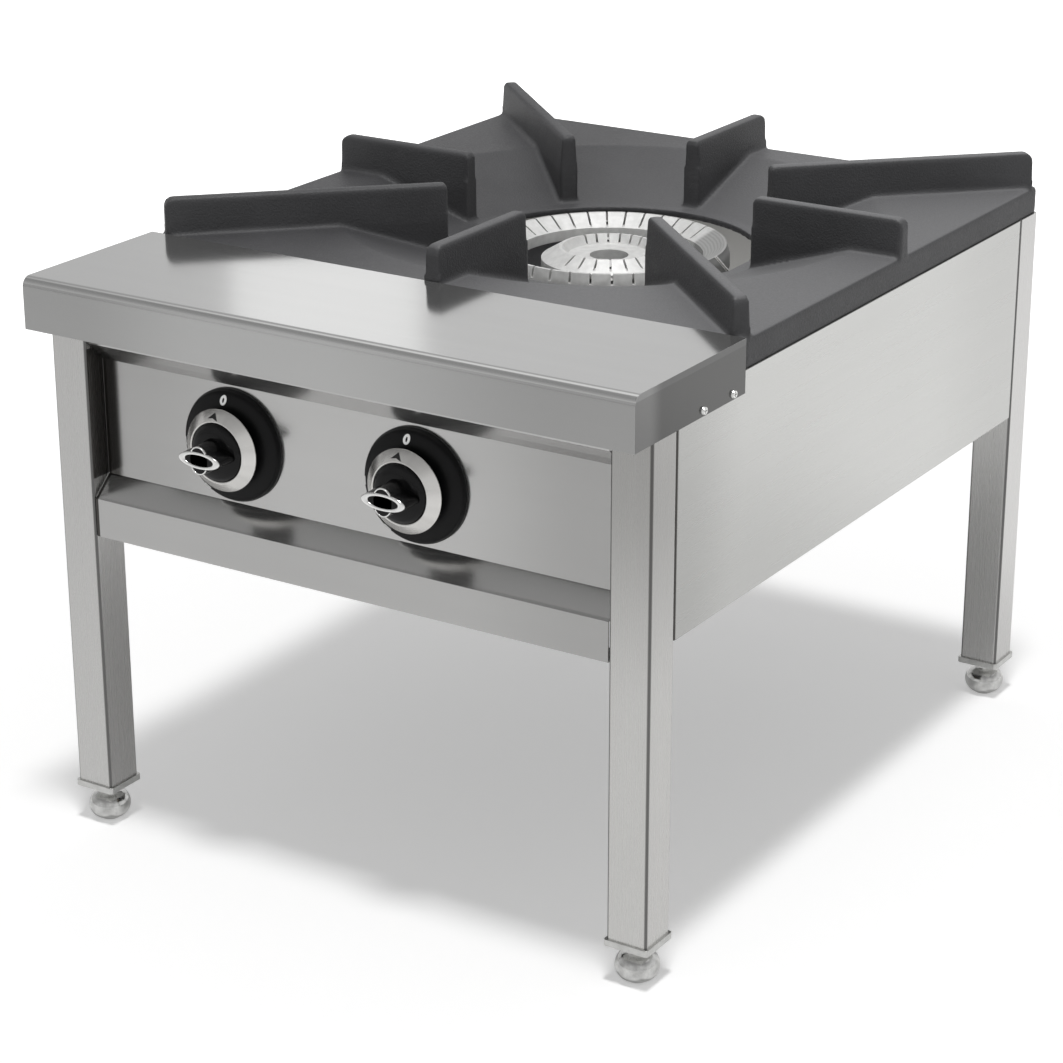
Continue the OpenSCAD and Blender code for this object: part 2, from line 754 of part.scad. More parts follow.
// Upright section through the plate and its rim, with rounded upper edges, filled
module plate_section(w) {
    translate([-w / 2, deck_h]) square([w, rim_h - plate_edge_r]);
    translate([-w / 2 + plate_edge_r, deck_h]) square([w - 2 * plate_edge_r, rim_h]);
    for (s = [-1, 1]) translate([s * (w / 2 - plate_edge_r), plate_top - plate_edge_r]) circle(plate_edge_r);
}

// Plate and rim, filled
module plate_block() {
    intersection() {
        translate([0, 0, deck_h]) linear_extrude(rim_h) plate_outline(0);
        rotate([90, 0, 0]) linear_extrude(grate_d, center = true) plate_section(grate_w);
        rotate([90, 0, 90]) linear_extrude(grate_w, center = true) plate_section(grate_d);
    }
}

// Square plate with a rim, a conical dish round the hole and eight pot ribs, cast in one
module grate() {
    corner_angle = atan2(grate_d, grate_w);
    corner_l = norm([grate_w, grate_d]) / 2 - corner_setback;
    lug_x = stand_w / 2 - panel_edge - lug_play - lug_w / 2;
    flare = (dish_r - lip_r) / dish_drop;
    color([0.25, 0.25, 0.27]) translate([0, axis_y, 0]) difference() {
        union() {
            difference() {
                union() {
                    difference() {
                        plate_block();
                        translate([0, 0, deck_h - over]) linear_extrude(rim_h - cast_t + over) plate_outline(cast_t);
                    }
                    translate([0, 0, lip_top - cast_t]) cylinder(dish_drop, r1 = lip_r, r2 = dish_r);
                    translate([0, 0, lip_top - cast_t]) cylinder(cast_t, r = lip_r);
                }
                translate([0, 0, lip_top])
                    cylinder(dish_drop + over, r1 = lip_r, r2 = dish_r + flare * over);
            }
            intersection() {
                translate([0, 0, lip_top - cast_t]) linear_extrude(rib_top) plate_outline(0);
                union() {
                    for (a = [0, 180]) rib(a, grate_w / 2);
                    for (a = [90, 270]) rib(a, grate_d / 2);
                    for (a = [corner_angle, 180 - corner_angle, 180 + corner_angle, -corner_angle])
                        rib(a, corner_l);
                }
            }
            for (sx = [-1, 1], sy = [-1, 1])
                translate([sx * lug_x - lug_w / 2, sy * grate_d / 4 - lug_l / 2, deck_h - lug_drop])
                    cube([lug_w, lug_l, lug_drop + rim_h - cast_t / 2]);
        }
        translate([0, 0, lip_top - 2 * cast_t]) cylinder(4 * cast_t, r = hole_r);
    }
}

// Ring channel of a burner body, open to the cap
module ring_channel(in_r, out_r, top_z) {
    translate([0, 0, burner_floor_z]) rotate_extrude() difference() {
        translate([in_r, 0]) square([out_r - in_r, top_z - burner_floor_z]);
        translate([in_r + burner_wall, burner_wall])
            square([out_r - in_r - 2 * burner_wall, top_z - burner_floor_z]);
    }
}

// Bell mouth and bore of a mixing tube
module mixer_bore(x, end_y) {
    l = end_y - (mouth_plane_y - axis_y);
    bore_r = mixer_r - burner_wall;
    bell_l = mouth_r - mixer_r + 3 * burner_wall;
    translate([x, mouth_plane_y - axis_y, mixer_z]) rotate([-90, 0, 0]) {
        translate([0, 0, -over]) cylinder(bell_l + over, r1 = mouth_r - burner_wall / 2, r2 = bore_r);
        cylinder(l, r = bore_r);
        translate([0, 0, l]) sphere(bore_r);
    }
}

// Mixing tube with its bell mouth, filled
module mixer_body(x, end_y) {
    l = end_y - (mouth_plane_y - axis_y);
    bell_l = mouth_r - mixer_r + 3 * burner_wall;
    translate([x, mouth_plane_y - axis_y, mixer_z]) rotate([-90, 0, 0]) {
        cylinder(bell_l, r1 = mouth_r, r2 = mixer_r);
        cylinder(l, r = mixer_r);
        translate([0, 0, l]) sphere(mixer_r);
    }
}

// Upright passage from a mixing tube up to a height, kept within two radii
module throat(x, y, in_r, out_r, r, top_z) {
    translate([0, 0, mixer_z]) linear_extrude(top_z - mixer_z) intersection() {
        translate([x, y]) circle(r);
        difference() {
            circle(out_r);
            circle(in_r);
        }
    }
}

// Radii, seat and place of the feed of the two ring bodies
outer_body = [outer_cap_in_r + cap_overhang, outer_cap_r - cap_overhang];
inner_body = [inner_hole_r + cap_overhang, inner_cap_r - cap_overhang];
outer_feed = [mixer_x, -sqrt(pow(outer_mid_r, 2) - pow(mixer_x, 2))];
inner_feed = [-mixer_x, 0];

// Cast ring body, with a hole in its floor over its mixing tube
module ring_burner(body, seat_z, feed) {
    color("dimgray") translate([0, axis_y, 0]) difference() {
        ring_channel(body[0], body[1], seat_z);
        throat(feed.x, feed.y, body[0] + burner_wall, body[1] - burner_wall, mixer_r - burner_wall,
            burner_floor_z + burner_wall + over);
    }
}

// Cast mixing tube, closed at its end and open up into the ring body that it stands under
module mixer(body, feed) {
    color("dimgray") translate([0, axis_y, 0]) difference() {
        union() {
            mixer_body(feed.x, feed.y);
            throat(feed.x, feed.y, body[0], body[1], mixer_r, burner_floor_z);
        }
        mixer_bore(feed.x, feed.y);
        throat(feed.x, feed.y, body[0] + burner_wall, body[1] - burner_wall, mixer_r - burner_wall,
            burner_floor_z + over);
    }
}

// Radial slots, left out over one plain stretch
module slots(count, plain_mid, in_r, out_r, base_z, h) {
    for (i = [0:count - 1]) {
        a = slot_start + i * 360 / count;
        if (abs((a - plain_mid + 540) % 360 - 180) > plain_half)
            rotate(a) translate([in_r, -slot_w / 2, base_z]) cube([out_r - in_r, slot_w, h]);
    }
}

// Locating lip that hangs inside a ring body's outer wall, on a step inside the cap's wall
module cap_lip(cap_r, seat_z) {
    out_r = cap_r - cap_overhang - burner_wall - cap_lip_play;
    in_r = out_r - burner_wall / 2;
    translate([0, 0, seat_z]) rotate_extrude() {
        translate([in_r, -cap_lip_h]) square([out_r - in_r, 2 * cap_lip_h]);
        translate([in_r, 0]) square([cap_r - burner_wall / 2 - in_r, cap_lip_h]);
    }
}

// Hollow outer ring with slots through its inner slope and its outer wall
module outer_cap() {
    slope_foot_z = outer_crest_z - slope_drop;
    crest_in_r = outer_crest_r - crest_w / 2;
    wall = burner_wall;
    color("whitesmoke") translate([0, axis_y, 0]) difference() {
        union() {
            rotate_extrude() difference() {
                polygon([
                    [outer_cap_in_r, outer_seat_z], [outer_cap_in_r, slope_foot_z],
                    [crest_in_r, outer_crest_z], [outer_crest_r + crest_w / 2, outer_crest_z],
                    [outer_cap_r, slope_foot_z], [outer_cap_r, outer_seat_z]
                ]);
                polygon([
                    [outer_cap_in_r + wall, outer_seat_z - over], [outer_cap_in_r + wall, slope_foot_z - wall / 2],
                    [crest_in_r, outer_crest_z - crown_share * wall],
                    [outer_cap_r - wall, slope_foot_z - wall / 2], [outer_cap_r - wall, outer_seat_z - over]
                ]);
            }
            cap_lip(outer_cap_r, outer_seat_z);
        }
        slots(outer_slots, outer_plain_mid, outer_cap_in_r - over, outer_cap_r + over,
            slope_foot_z + slot_lift, slope_drop);
    }
}

// Hollow inner ring with a flat middle, a hole for air and slots over its crest
module inner_cap() {
    flat_z = inner_crest_z - inner_flat_drop;
    slope_foot_z = inner_crest_z - slope_drop;
    wall = burner_wall;
    color("whitesmoke") translate([0, axis_y, 0]) difference() {
        union() {
            rotate_extrude() difference() {
                polygon([
                    [inner_hole_r, inner_seat_z], [inner_hole_r, flat_z], [inner_flat_r, flat_z],
                    [inner_crest_r - crest_w / 2, inner_crest_z], [inner_crest_r + crest_w / 2, inner_crest_z],
                    [inner_cap_r, slope_foot_z], [inner_cap_r, inner_seat_z]
                ]);
                polygon([
                    [inner_hole_r + wall, inner_seat_z - over], [inner_hole_r + wall, flat_z - wall],
                    [inner_flat_r, flat_z - wall], [inner_crest_r, inner_crest_z - crown_share * wall],
                    [inner_cap_r - wall, slope_foot_z - wall / 2], [inner_cap_r - wall, inner_seat_z - over]
                ]);
            }
            cap_lip(inner_cap_r, inner_seat_z);
        }
        slots(inner_slots, inner_plain_mid, inner_flat_r, inner_cap_r + over, flat_z + slot_lift, inner_flat_drop);
    }
}

// Pipe behind the control face that turns to the back and ends at the gas inlet
module manifold_path(r, from_x, to_y) {
    y = face_y + manifold_y;
    bend = manifold_bend_r;
    translate([0, 0, manifold_z]) {
        translate([from_x, y, 0]) rotate([0, 90, 0]) cylinder(manifold_x - bend - from_x, r = r);
        translate([manifold_x - bend, y + bend, 0]) rotate(-90) rotate_extrude(angle = 90)
            translate([bend, 0]) circle(r);
        translate([manifold_x, y + bend, 0]) rotate([-90, 0, 0]) cylinder(to_y - y - bend, r = r);
    }
}

module manifold() {
    from_x = knob_left_x - manifold_end;
    to_y = back_y - inlet_inset - inlet_thread_l - inlet_hex_l;
    color("lightgray") difference() {
        manifold_path(manifold_r, from_x, to_y);
        manifold_path(manifold_r - manifold_wall, from_x + manifold_wall, to_y + over);
    }
}

// Hexagon and outside pipe thread, at the back of the range
module gas_inlet() {
    y = back_y - inlet_inset - inlet_thread_l - inlet_hex_l;
    color("goldenrod") translate([manifold_x, y, manifold_z]) rotate([-90, 0, 0]) difference() {
        union() {
            cylinder(inlet_hex_l, r = inlet_hex_w / 2, $fn = 6);
            cylinder(inlet_hex_l + inlet_thread_l, r = inlet_r);
        }
        translate([0, 0, -over])
            cylinder(inlet_hex_l + inlet_thread_l + 2 * over, r = manifold_r - manifold_wall);
    }
}

// Union nut on a supply pipe, along Y from a place
module union_nut(place) {
    translate(place) rotate([-90, 0, 0]) cylinder(nut_l_share * supply_r, r = nut_r_share * supply_r, $fn = 6);
}

// Pipe from a valve's outlet to an injector
module supply_pipe(valve_x, side) {
    a = [valve_x, barrel_back_y, knob_z];
    b = [side * mixer_x, front_y + injector_y, mixer_z];
    cross_y = (a.y + b.y) / 2;
    color("peru") {
        run_through([a, [a.x, cross_y, a.z], [b.x, cross_y, b.z], b], supply_r);
        union_nut(a);
        union_nut(b - [0, nut_l_share * supply_r, 0]);
    }
}

// Brass barrel in the bracket with a drilled nozzle in the tube's mouth
module injector(side) {
    color("goldenrod") translate([side * mixer_x, front_y + injector_y, mixer_z]) rotate([-90, 0, 0]) difference() {
        union() {
            cylinder(injector_l, r = injector_r);
            cylinder(injector_l + nozzle_l, r = nozzle_r);
        }
        translate([0, 0, -over]) cylinder(injector_l, r = outlet_share * supply_r);
        cylinder(injector_l + nozzle_l + over, r = jet_share * supply_r);
    }
}

// Plate under the front cross rail that holds both injectors
module injector_bracket() {
    low = mixer_z - injector_r - 2 * burner_wall;
    high = deck_h - sheet_t - rail_t;
    color("darkgray") difference() {
        translate([-bracket_half_w, front_y + front_rail_y - bracket_t, low])
            cube([2 * bracket_half_w, bracket_t, high - low]);
        for (side = [left, right])
            translate([side * mixer_x, front_y + front_rail_y + over, mixer_z])
                rotate([90, 0, 0]) cylinder(bracket_t + 2 * over, r = injector_r);
    }
}

// Disc with air ports, clamped on the injector in front of the tube's mouth
module air_shutter(side) {
    y = front_y + injector_y + injector_l - shutter_t;
    port_r = (shutter_r - injector_r) / 3;
    color("lightgray") translate([side * mixer_x, y, mixer_z]) rotate([-90, 0, 0]) difference() {
        cylinder(shutter_t, r = shutter_r);
        translate([0, 0, -over]) {
            cylinder(shutter_t + 2 * over, r = injector_r);
            for (a = [0:60:300]) rotate(a) translate([(shutter_r + injector_r) / 2, 0, 0])
                cylinder(shutter_t + 2 * over, r = port_r);
        }
    }
}

// Probe, nut and lead of a thermocouple, through its own points
module thermocouple(tip, foot_point, lead_points) {
    color("lightgray") {
        run_through([foot_point, tip], probe_r);
        translate(foot_point) cylinder(4 * probe_r, r = probe_nut_share * probe_r, center = true, $fn = 6);
        run_through(concat([foot_point], lead_points), lead_r);
    }
}

// Leaning probe beside the outer ring, its tip just above the crest
outer_tip = [outer_cap_r + tip_gap, axis_y - tip_y, outer_crest_z + tip_rise];
outer_foot = [outer_tip.x + lean_x, outer_tip.y + lean_y, burner_floor_z + bracket_t];
module thermocouple_outer() {
    low_z = knob_z - lead_drop;
    cross_y = front_y + lead_y;
    end = [knob_right_x + lead_x, barrel_back_y, knob_z];
    thermocouple(outer_tip, outer_foot, [
        [outer_foot.x, outer_foot.y, low_z], [outer_foot.x, cross_y, low_z], [end.x, cross_y, end.z], end
    ]);
}

// Upright probe in the gap between the rings
inner_tip = [0, axis_y - (outer_cap_in_r + inner_cap_r) / 2, outer_crest_z - slope_drop];
inner_foot = [0, inner_tip.y, burner_floor_z - bar_t + bracket_t];
module thermocouple_inner() {
    low_z = mixer_z - mixer_r - lead_gap;
    cross_y = front_y + lead_y;
    end = [knob_left_x - lead_x, barrel_back_y, knob_z];
    thermocouple(inner_tip, inner_foot, [
        [0, inner_foot.y, low_z], [0, cross_y, low_z], [end.x, cross_y, low_z], end
    ]);
}

// Strips that reach from the burner bars to the probes
module probe_brackets() {
    outer_l = axis_y + bar_y - outer_foot.y + strip_w / 2;
    inner_l = axis_y - bar_y - bar_w / 2 - inner_foot.y + strip_w / 2;
    color("darkgray") difference() {
        union() {
            translate([outer_foot.x - strip_w / 2, outer_foot.y - strip_w / 2, outer_foot.z - bracket_t])
                cube([strip_w, outer_l, bracket_t]);
            translate([-strip_w / 2, inner_foot.y - strip_w / 2, inner_foot.z - bracket_t])
                cube([strip_w, inner_l, bracket_t]);
        }
        for (p = [outer_foot, inner_foot])
            translate(p) cylinder(4 * bracket_t, r = probe_nut_share * probe_r, center = true);
    }
}

// Brass body behind the control face, saddled on the manifold
module valve_body(x) {
    saddle_r = manifold_r + saddle_wall;
    color("darkkhaki") on_face(x) difference() {
        union() {
            translate([-flange_w / 2, -flange_h / 2, barrel_front_h]) cube([flange_w, flange_h, flange_t]);
            translate([0, 0, barrel_back_h]) cylinder(barrel_l + flange_t / 2, r = barrel_r);
            translate([-saddle_w / 2, -manifold_drop - saddle_r, -manifold_y - saddle_r])
                cube([saddle_w, manifold_drop + saddle_r, 2 * saddle_r]);
        }
        translate([0, 0, -plug_depth - plug_l - plug_end_gap])
            cylinder(plug_l + 2 * plug_end_gap, r = plug_r + valve_play);
        translate([0, 0, -plug_depth]) cylinder(plug_depth, r = spindle_r + valve_play);
        translate([0, 0, barrel_back_h - over]) cylinder(barrel_l / 2, r = outlet_share * supply_r);
        translate([0, -manifold_drop, -manifold_y]) rotate([0, 90, 0])
            cylinder(saddle_w + 2 * over, r = manifold_r, center = true);
        for (s = [-1, 1]) translate([s * valve_screw_x, 0, barrel_front_h - over])
            cylinder(flange_t + 2 * over, r = valve_screw_r);
    }
}

// Screws from inside each bezel's well into the valve's flange
module valve_screws() {
    head_h = valve_head_r / 2;
    slot_t = cross_w_share * valve_head_r;
    color("silver") for (x = [knob_left_x, knob_right_x], s = [-1, 1])
        on_face(x) translate([s * valve_screw_x, 0, bezel_floor_t]) {
            difference() {
                cylinder(head_h, r = valve_head_r);
                translate([-valve_head_r, -slot_t / 2, head_h / 2]) cube([2 * valve_head_r, slot_t, head_h]);
            }
            translate([0, 0, barrel_front_h - bezel_floor_t])
                cylinder(bezel_floor_t - barrel_front_h, r = valve_screw_r);
        }
}

// Round plug that opens the gas way, with a square socket for the spindle
module valve_plug(x) {
    socket = spindle_square + 2 * valve_play;
    socket_l = spindle_square_l + plug_end_gap;
    color("goldenrod") on_face(x) translate([0, 0, -plug_depth - plug_l]) difference() {
        cylinder(plug_l, r = plug_r);
        translate([-socket / 2, -socket / 2, plug_l - socket_l]) cube([socket, socket, socket_l + over]);
        translate([0, 0, -over]) cylinder(plug_l, r = outlet_share * supply_r);
    }
}

// Steel spindle, round in the knob and square in the plug
module spindle(x) {
    front_h = knob_back_h + knob_l / 2;
    color("silver") on_face(x) {
        translate([0, 0, spindle_step_h]) cylinder(front_h - spindle_step_h, r = spindle_r);
        translate([-spindle_square / 2, -spindle_square / 2, spindle_step_h - spindle_square_l])
            cube([spindle_square, spindle_square, spindle_square_l + spindle_r]);
    }
}

// Domed black disc on the control face, with a well for the valve screws
module bezel(x) {
    floor_r = spindle_r + spindle_gap;
    dome = [for (p = bezel_shares) [p[0] * bezel_r, p[1] * bezel_h]];
    color([0.1, 0.1, 0.1]) on_face(x) difference() {
        rotate_extrude() polygon(concat(
            [[floor_r, 0], [bezel_r, 0]], dome,
            [[well_r, bezel_h], [well_r, bezel_floor_t], [floor_r, bezel_floor_t]]
        ));
        for (s = [-1, 1]) translate([s * valve_screw_x, 0, -over])
            cylinder(bezel_floor_t + 2 * over, r = valve_screw_r);
    }
}

// Black hub with a bar grip and an oval boss, moulded in one
module knob_body(x) {
    cone_r = ring_out_r - 2 * ring_t;
    hub = [for (p = hub_shares) [p[0] * ring_in_r, shoulder_h + p[1] * ring_h]];
    color([0.11, 0.11, 0.12]) on_face(x) difference() {
        union() {
            rotate_extrude() polygon(concat(
                [[0, knob_back_h], [cone_r, knob_back_h], [cone_r, knob_back_h + ring_t],
                [ring_in_r - ring_t, shoulder_h - ring_t / 2]], hub
            ));
            translate([0, 0, shoulder_h - ring_t]) linear_extrude(grip_end_h - shoulder_h + ring_t) oval(grip_a, grip_b);
            translate([0, 0, shoulder_h]) linear_extrude(grip_end_h - shoulder_h) oval(boss_a, boss_b);
        }
        translate([0, 0, knob_back_h - over]) cylinder(knob_l / 2 + over, r = spindle_r);
    }
}

// Satin silver cone round the hub
module knob_ring(x) {
    color("lightgray") on_face(x) rotate_extrude() polygon([
        [ring_out_r - 2 * ring_t, knob_back_h], [ring_out_r, knob_back_h], [ring_out_r, knob_back_h + ring_t],
        [ring_in_r, shoulder_h], [ring_in_r - ring_t, shoulder_h - ring_t / 2],
        [ring_out_r - 2 * ring_t, knob_back_h + ring_t]
    ]);
}

// Thin bright outlines on the ends of the grip and the boss
module knob_trim(x) {
    color("gainsboro") on_face(x) translate([0, 0, grip_end_h]) {
        linear_extrude(trim_t) difference() {
            oval(grip_a, grip_b);
            oval(grip_core_a, grip_core_b);
        }
        linear_extrude(trim_t) difference() {
            oval(boss_a, boss_b);
            oval(boss_a - boss_line_w, boss_b - boss_line_w);
            oval(grip_a, grip_b);
        }
    }
}

leg(left, front);  // leg_front_left
leg(right, front);  // leg_front_right
leg(left, back);  // leg_back_left
leg(right, back);  // leg_back_right
leg_cap(left);  // leg_cap_left
leg_cap(right);  // leg_cap_right
foot_plate(left, front);  // foot_plate_front_left
foot_plate(right, front);  // foot_plate_front_right
foot_plate(left, back);  // foot_plate_back_left
foot_plate(right, back);  // foot_plate_back_right
foot(left, front);  // foot_front_left
foot(right, front);  // foot_front_right
foot(left, back);  // foot_back_left
foot(right, back);  // foot_back_right
front_panel();
side_panel(left);  // side_panel_left
side_panel(right);  // side_panel_right
back_panel();
front_cross_rail();
back_cross_rail();
burner_bar(front);  // burner_bar_front
burner_bar(back);  // burner_bar_back
shelf();
skirt_screws();
grate();
ring_burner(outer_body, outer_seat_z, outer_feed);  // outer_burner
ring_burner(inner_body, inner_seat_z, inner_feed);  // inner_burner
mixer(outer_body, outer_feed);  // outer_mixer
mixer(inner_body, inner_feed);  // inner_mixer
outer_cap();
inner_cap();
manifold();
gas_inlet();
supply_pipe(knob_right_x, right);  // supply_pipe_outer
supply_pipe(knob_left_x, left);  // supply_pipe_inner
injector(right);  // injector_outer
injector(left);  // injector_inner
injector_bracket();
air_shutter(right);  // air_shutter_outer
air_shutter(left);  // air_shutter_inner
thermocouple_outer();
thermocouple_inner();
probe_brackets();
valve_body(knob_left_x);  // valve_body_left
valve_body(knob_right_x);  // valve_body_right
valve_screws();
valve_plug(knob_left_x);  // valve_plug_left
valve_plug(knob_right_x);  // valve_plug_right
spindle(knob_left_x);  // spindle_left
spindle(knob_right_x);  // spindle_right
bezel(knob_left_x);  // bezel_left
bezel(knob_right_x);  // bezel_right
knob_body(knob_left_x);  // knob_body_left
knob_body(knob_right_x);  // knob_body_right
knob_ring(knob_left_x);  // knob_ring_left
knob_ring(knob_right_x);  // knob_ring_right
knob_trim(knob_left_x);  // knob_trim_left
knob_trim(knob_right_x);  // knob_trim_right
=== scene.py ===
import bmesh
import bpy
import math
from mathutils import Matrix, Quaternion, Vector


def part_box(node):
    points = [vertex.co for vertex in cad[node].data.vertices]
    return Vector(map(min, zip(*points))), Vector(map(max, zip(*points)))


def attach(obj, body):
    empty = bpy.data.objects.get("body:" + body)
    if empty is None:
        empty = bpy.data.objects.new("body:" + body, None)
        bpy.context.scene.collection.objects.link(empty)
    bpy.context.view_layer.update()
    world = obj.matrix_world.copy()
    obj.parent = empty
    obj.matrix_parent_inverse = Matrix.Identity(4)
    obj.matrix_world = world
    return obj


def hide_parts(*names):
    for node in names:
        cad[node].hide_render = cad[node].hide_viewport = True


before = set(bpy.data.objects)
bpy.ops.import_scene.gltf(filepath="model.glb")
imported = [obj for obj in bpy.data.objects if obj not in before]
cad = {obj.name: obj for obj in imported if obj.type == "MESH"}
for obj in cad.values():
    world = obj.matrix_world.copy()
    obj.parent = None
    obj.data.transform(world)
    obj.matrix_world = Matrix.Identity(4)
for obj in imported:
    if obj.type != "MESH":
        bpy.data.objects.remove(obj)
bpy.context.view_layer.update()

# Studio. The range stands on a white floor that keeps a soft grey shadow, under one overhead softbox.
# A second softbox behind it to the left lies in the mirror of the steel shelf.
scene = bpy.context.scene
scene.view_settings.view_transform = "Standard"

camera = bpy.data.objects.new("camera", bpy.data.cameras.new("camera"))
scene.collection.objects.link(camera)
scene.camera = camera
camera.data.lens = 99.77
camera.data.sensor_width = 36
camera.data.clip_end = 60
look_az = math.radians(32.504)
look_el = math.radians(21.023)
level = math.cos(look_el)
look_back = Vector((math.sin(look_az) * level, -math.cos(look_az) * level, math.sin(look_el)))
camera.location = (1.35551, -2.17618, 1.21508)
look_roll = math.radians(-0.123)
camera.rotation_mode = "QUATERNION"
camera.rotation_quaternion = (-look_back).to_track_quat("-Z", "Y") @ Quaternion((0, 0, 1), look_roll)


def new_material(name):
    made = bpy.data.materials.new(name)
    made.use_nodes = True
    made.node_tree.nodes.clear()
    return made


def add_node(tree, kind, **settings):
    made = tree.nodes.new(kind)
    for key, value in settings.items():
        setattr(made, key, value)
    return made


def feed(tree, term, socket):
    """Links a term to a socket, or sets it there if it is a number."""
    if isinstance(term, (int, float)):
        socket.default_value = term
    else:
        tree.links.new(term, socket)


def work_out(tree, operation, *terms):
    """The outcome of one sum on sockets and numbers."""
    made = add_node(tree, "ShaderNodeMath", operation=operation)
    for term, socket in zip(terms, made.inputs):
        feed(tree, term, socket)
    return made.outputs[0]


def fade(tree, value, low, high, start=0.0, end=1.0, kind="SMOOTHSTEP"):
    """Goes from start to end while the value goes from low to high."""
    made = add_node(tree, "ShaderNodeMapRange", interpolation_type=kind)
    tree.links.new(value, made.inputs["Value"])
    for term, socket in ((low, "From Min"), (high, "From Max"), (start, "To Min"), (end, "To Max")):
        feed(tree, term, made.inputs[socket])
    return made.outputs[0]


def split(tree, vector):
    """The parts X, Y and Z of a vector."""
    made = add_node(tree, "ShaderNodeSeparateXYZ")
    tree.links.new(vector, made.inputs[0])
    return made.outputs


def background(tree, grey, strength):
    """Even light of one grey."""
    made = add_node(tree, "ShaderNodeBackground")
    made.inputs["Color"].default_value = (grey, grey, grey, 1)
    feed(tree, strength, made.inputs["Strength"])
    return made.outputs[0]


def mixed(tree, share, first, second):
    """The first light where share is 0 and the second where it is 1."""
    made = add_node(tree, "ShaderNodeMixShader")
    for term, socket in zip((share, first, second), made.inputs):
        tree.links.new(term, socket)
    return made.outputs[0]


world = bpy.data.worlds.new("studio")
scene.world = world
world.use_nodes = True
sky = world.node_tree
sky.nodes.clear()
sky_rays = add_node(sky, "ShaderNodeLightPath").outputs
sky_way = split(sky, add_node(sky, "ShaderNodeTexCoord").outputs["Generated"])
# What the steel mirrors: walls that dim upwards, to the front and to the left, and a bright back ceiling.
sky_roof = fade(sky, sky_way["Z"], 0.34, 0.8, 1.0, 0.52)
sky_front = fade(sky, sky_way["Y"], -0.3, 0.4, 0.9, 1.0)
sky_left = fade(sky, sky_way["X"], -0.64, -0.57, 0.84, 1.0)
sky_walls = work_out(sky, "MULTIPLY", work_out(sky, "MULTIPLY", sky_roof, sky_front), sky_left)
sky_zenith = fade(sky, sky_way["Z"], 0.66, 0.82, 0.0, 1.9)
sky_rear = fade(sky, sky_way["Y"], -0.06, 0.2)
sky_gain = work_out(sky, "ADD", work_out(sky, "MULTIPLY", sky_zenith, sky_rear), 1.0)
sky_mirrored = background(sky, 0.8, work_out(sky, "MULTIPLY", sky_walls, sky_gain))
sky_lit = mixed(sky, sky_rays["Is Glossy Ray"], background(sky, 1.0, 0.3), sky_mirrored)
sky_seen = work_out(sky, "MAXIMUM", sky_rays["Is Camera Ray"], sky_rays["Is Transmission Ray"])
sky_last = mixed(sky, sky_seen, sky_lit, background(sky, 1.0, 1.0))
sky.links.new(sky_last, add_node(sky, "ShaderNodeOutputWorld").inputs["Surface"])


def mapped(tree, place, setting, value):
    """Coordinates after a shift, a turn or a stretch."""
    made = add_node(tree, "ShaderNodeMapping")
    made.inputs[setting].default_value = value
    tree.links.new(place, made.inputs["Vector"])
    return made.outputs[0]


def between(tree, share, first, second):
    """The first value where share is 0 and the second where it is 1."""
    made = add_node(tree, "ShaderNodeMix")
    for term, socket in ((share, "Factor"), (first, "A"), (second, "B")):
        feed(tree, term, made.inputs[socket])
    return made.outputs["Result"]


# The floor's white paint glows a little: to the camera more with the distance, and in what the steel mirrors.
floor_paint = new_material("floor_paint")
paint = floor_paint.node_tree
paint_rays = add_node(paint, "ShaderNodeLightPath").outputs
paint_place = add_node(paint, "ShaderNodeTexCoord").outputs["Object"]
paint_turned = split(paint, mapped(paint, paint_place, "Rotation", (0, 0, math.radians(-116.6))))
paint_side = fade(paint, paint_turned["X"], 0.2, 0.52, 0.0, 0.3)
paint_near = fade(paint, split(paint, paint_place)["Y"], -1.6, -0.4, 0.08, 0.16)
paint_glow = between(paint, paint_rays["Is Glossy Ray"], 0.0, work_out(paint, "ADD", paint_side, paint_near))
paint_far = add_node(paint, "ShaderNodeVectorMath", operation="LENGTH")
paint.links.new(paint_place, paint_far.inputs[0])
paint_edge = fade(paint, paint_far.outputs["Value"], 0.5, 2.6, 0.34, 1.0)
paint_light = add_node(paint, "ShaderNodeEmission")
paint_strength = between(paint, paint_rays["Is Camera Ray"], paint_glow, paint_edge)
paint.links.new(paint_strength, paint_light.inputs["Strength"])
paint_matt = add_node(paint, "ShaderNodeBsdfDiffuse")
paint_matt.inputs["Color"].default_value = (0.85, 0.85, 0.85, 1)
paint_sum = add_node(paint, "ShaderNodeAddShader")
paint.links.new(paint_matt.outputs[0], paint_sum.inputs[0])
paint.links.new(paint_light.outputs[0], paint_sum.inputs[1])
paint.links.new(paint_sum.outputs[0], add_node(paint, "ShaderNodeOutputMaterial").inputs["Surface"])


def finished(name, form, material=None, place=Matrix.Identity(4)):
    """Closes a form and links it as a piece of one material in its place."""
    mesh = bpy.data.meshes.new(name)
    form.to_mesh(mesh)
    form.free()
    if material:
        mesh.materials.append(material)
    made = bpy.data.objects.new(name, mesh)
    scene.collection.objects.link(made)
    made.matrix_world = place
    return made


def disc(name, radius, segments, material=None):
    form = bmesh.new()
    bmesh.ops.create_circle(form, cap_ends=True, segments=segments, radius=radius)
    return finished(name, form, material)


studio_floor = disc("studio_floor", 16, 96, floor_paint)


def softbox(name, place, aim, width, height, watts):
    lamp = bpy.data.objects.new(name, bpy.data.lights.new(name, "AREA"))
    scene.collection.objects.link(lamp)
    lamp.data.shape = "RECTANGLE"
    lamp.data.size = width
    lamp.data.size_y = height
    lamp.data.energy = watts
    lamp.location = place
    lamp.rotation_mode = "QUATERNION"
    lamp.rotation_quaternion = (Vector(aim) - Vector(place)).to_track_quat("-Z", "Y")
    lamp.visible_camera = False


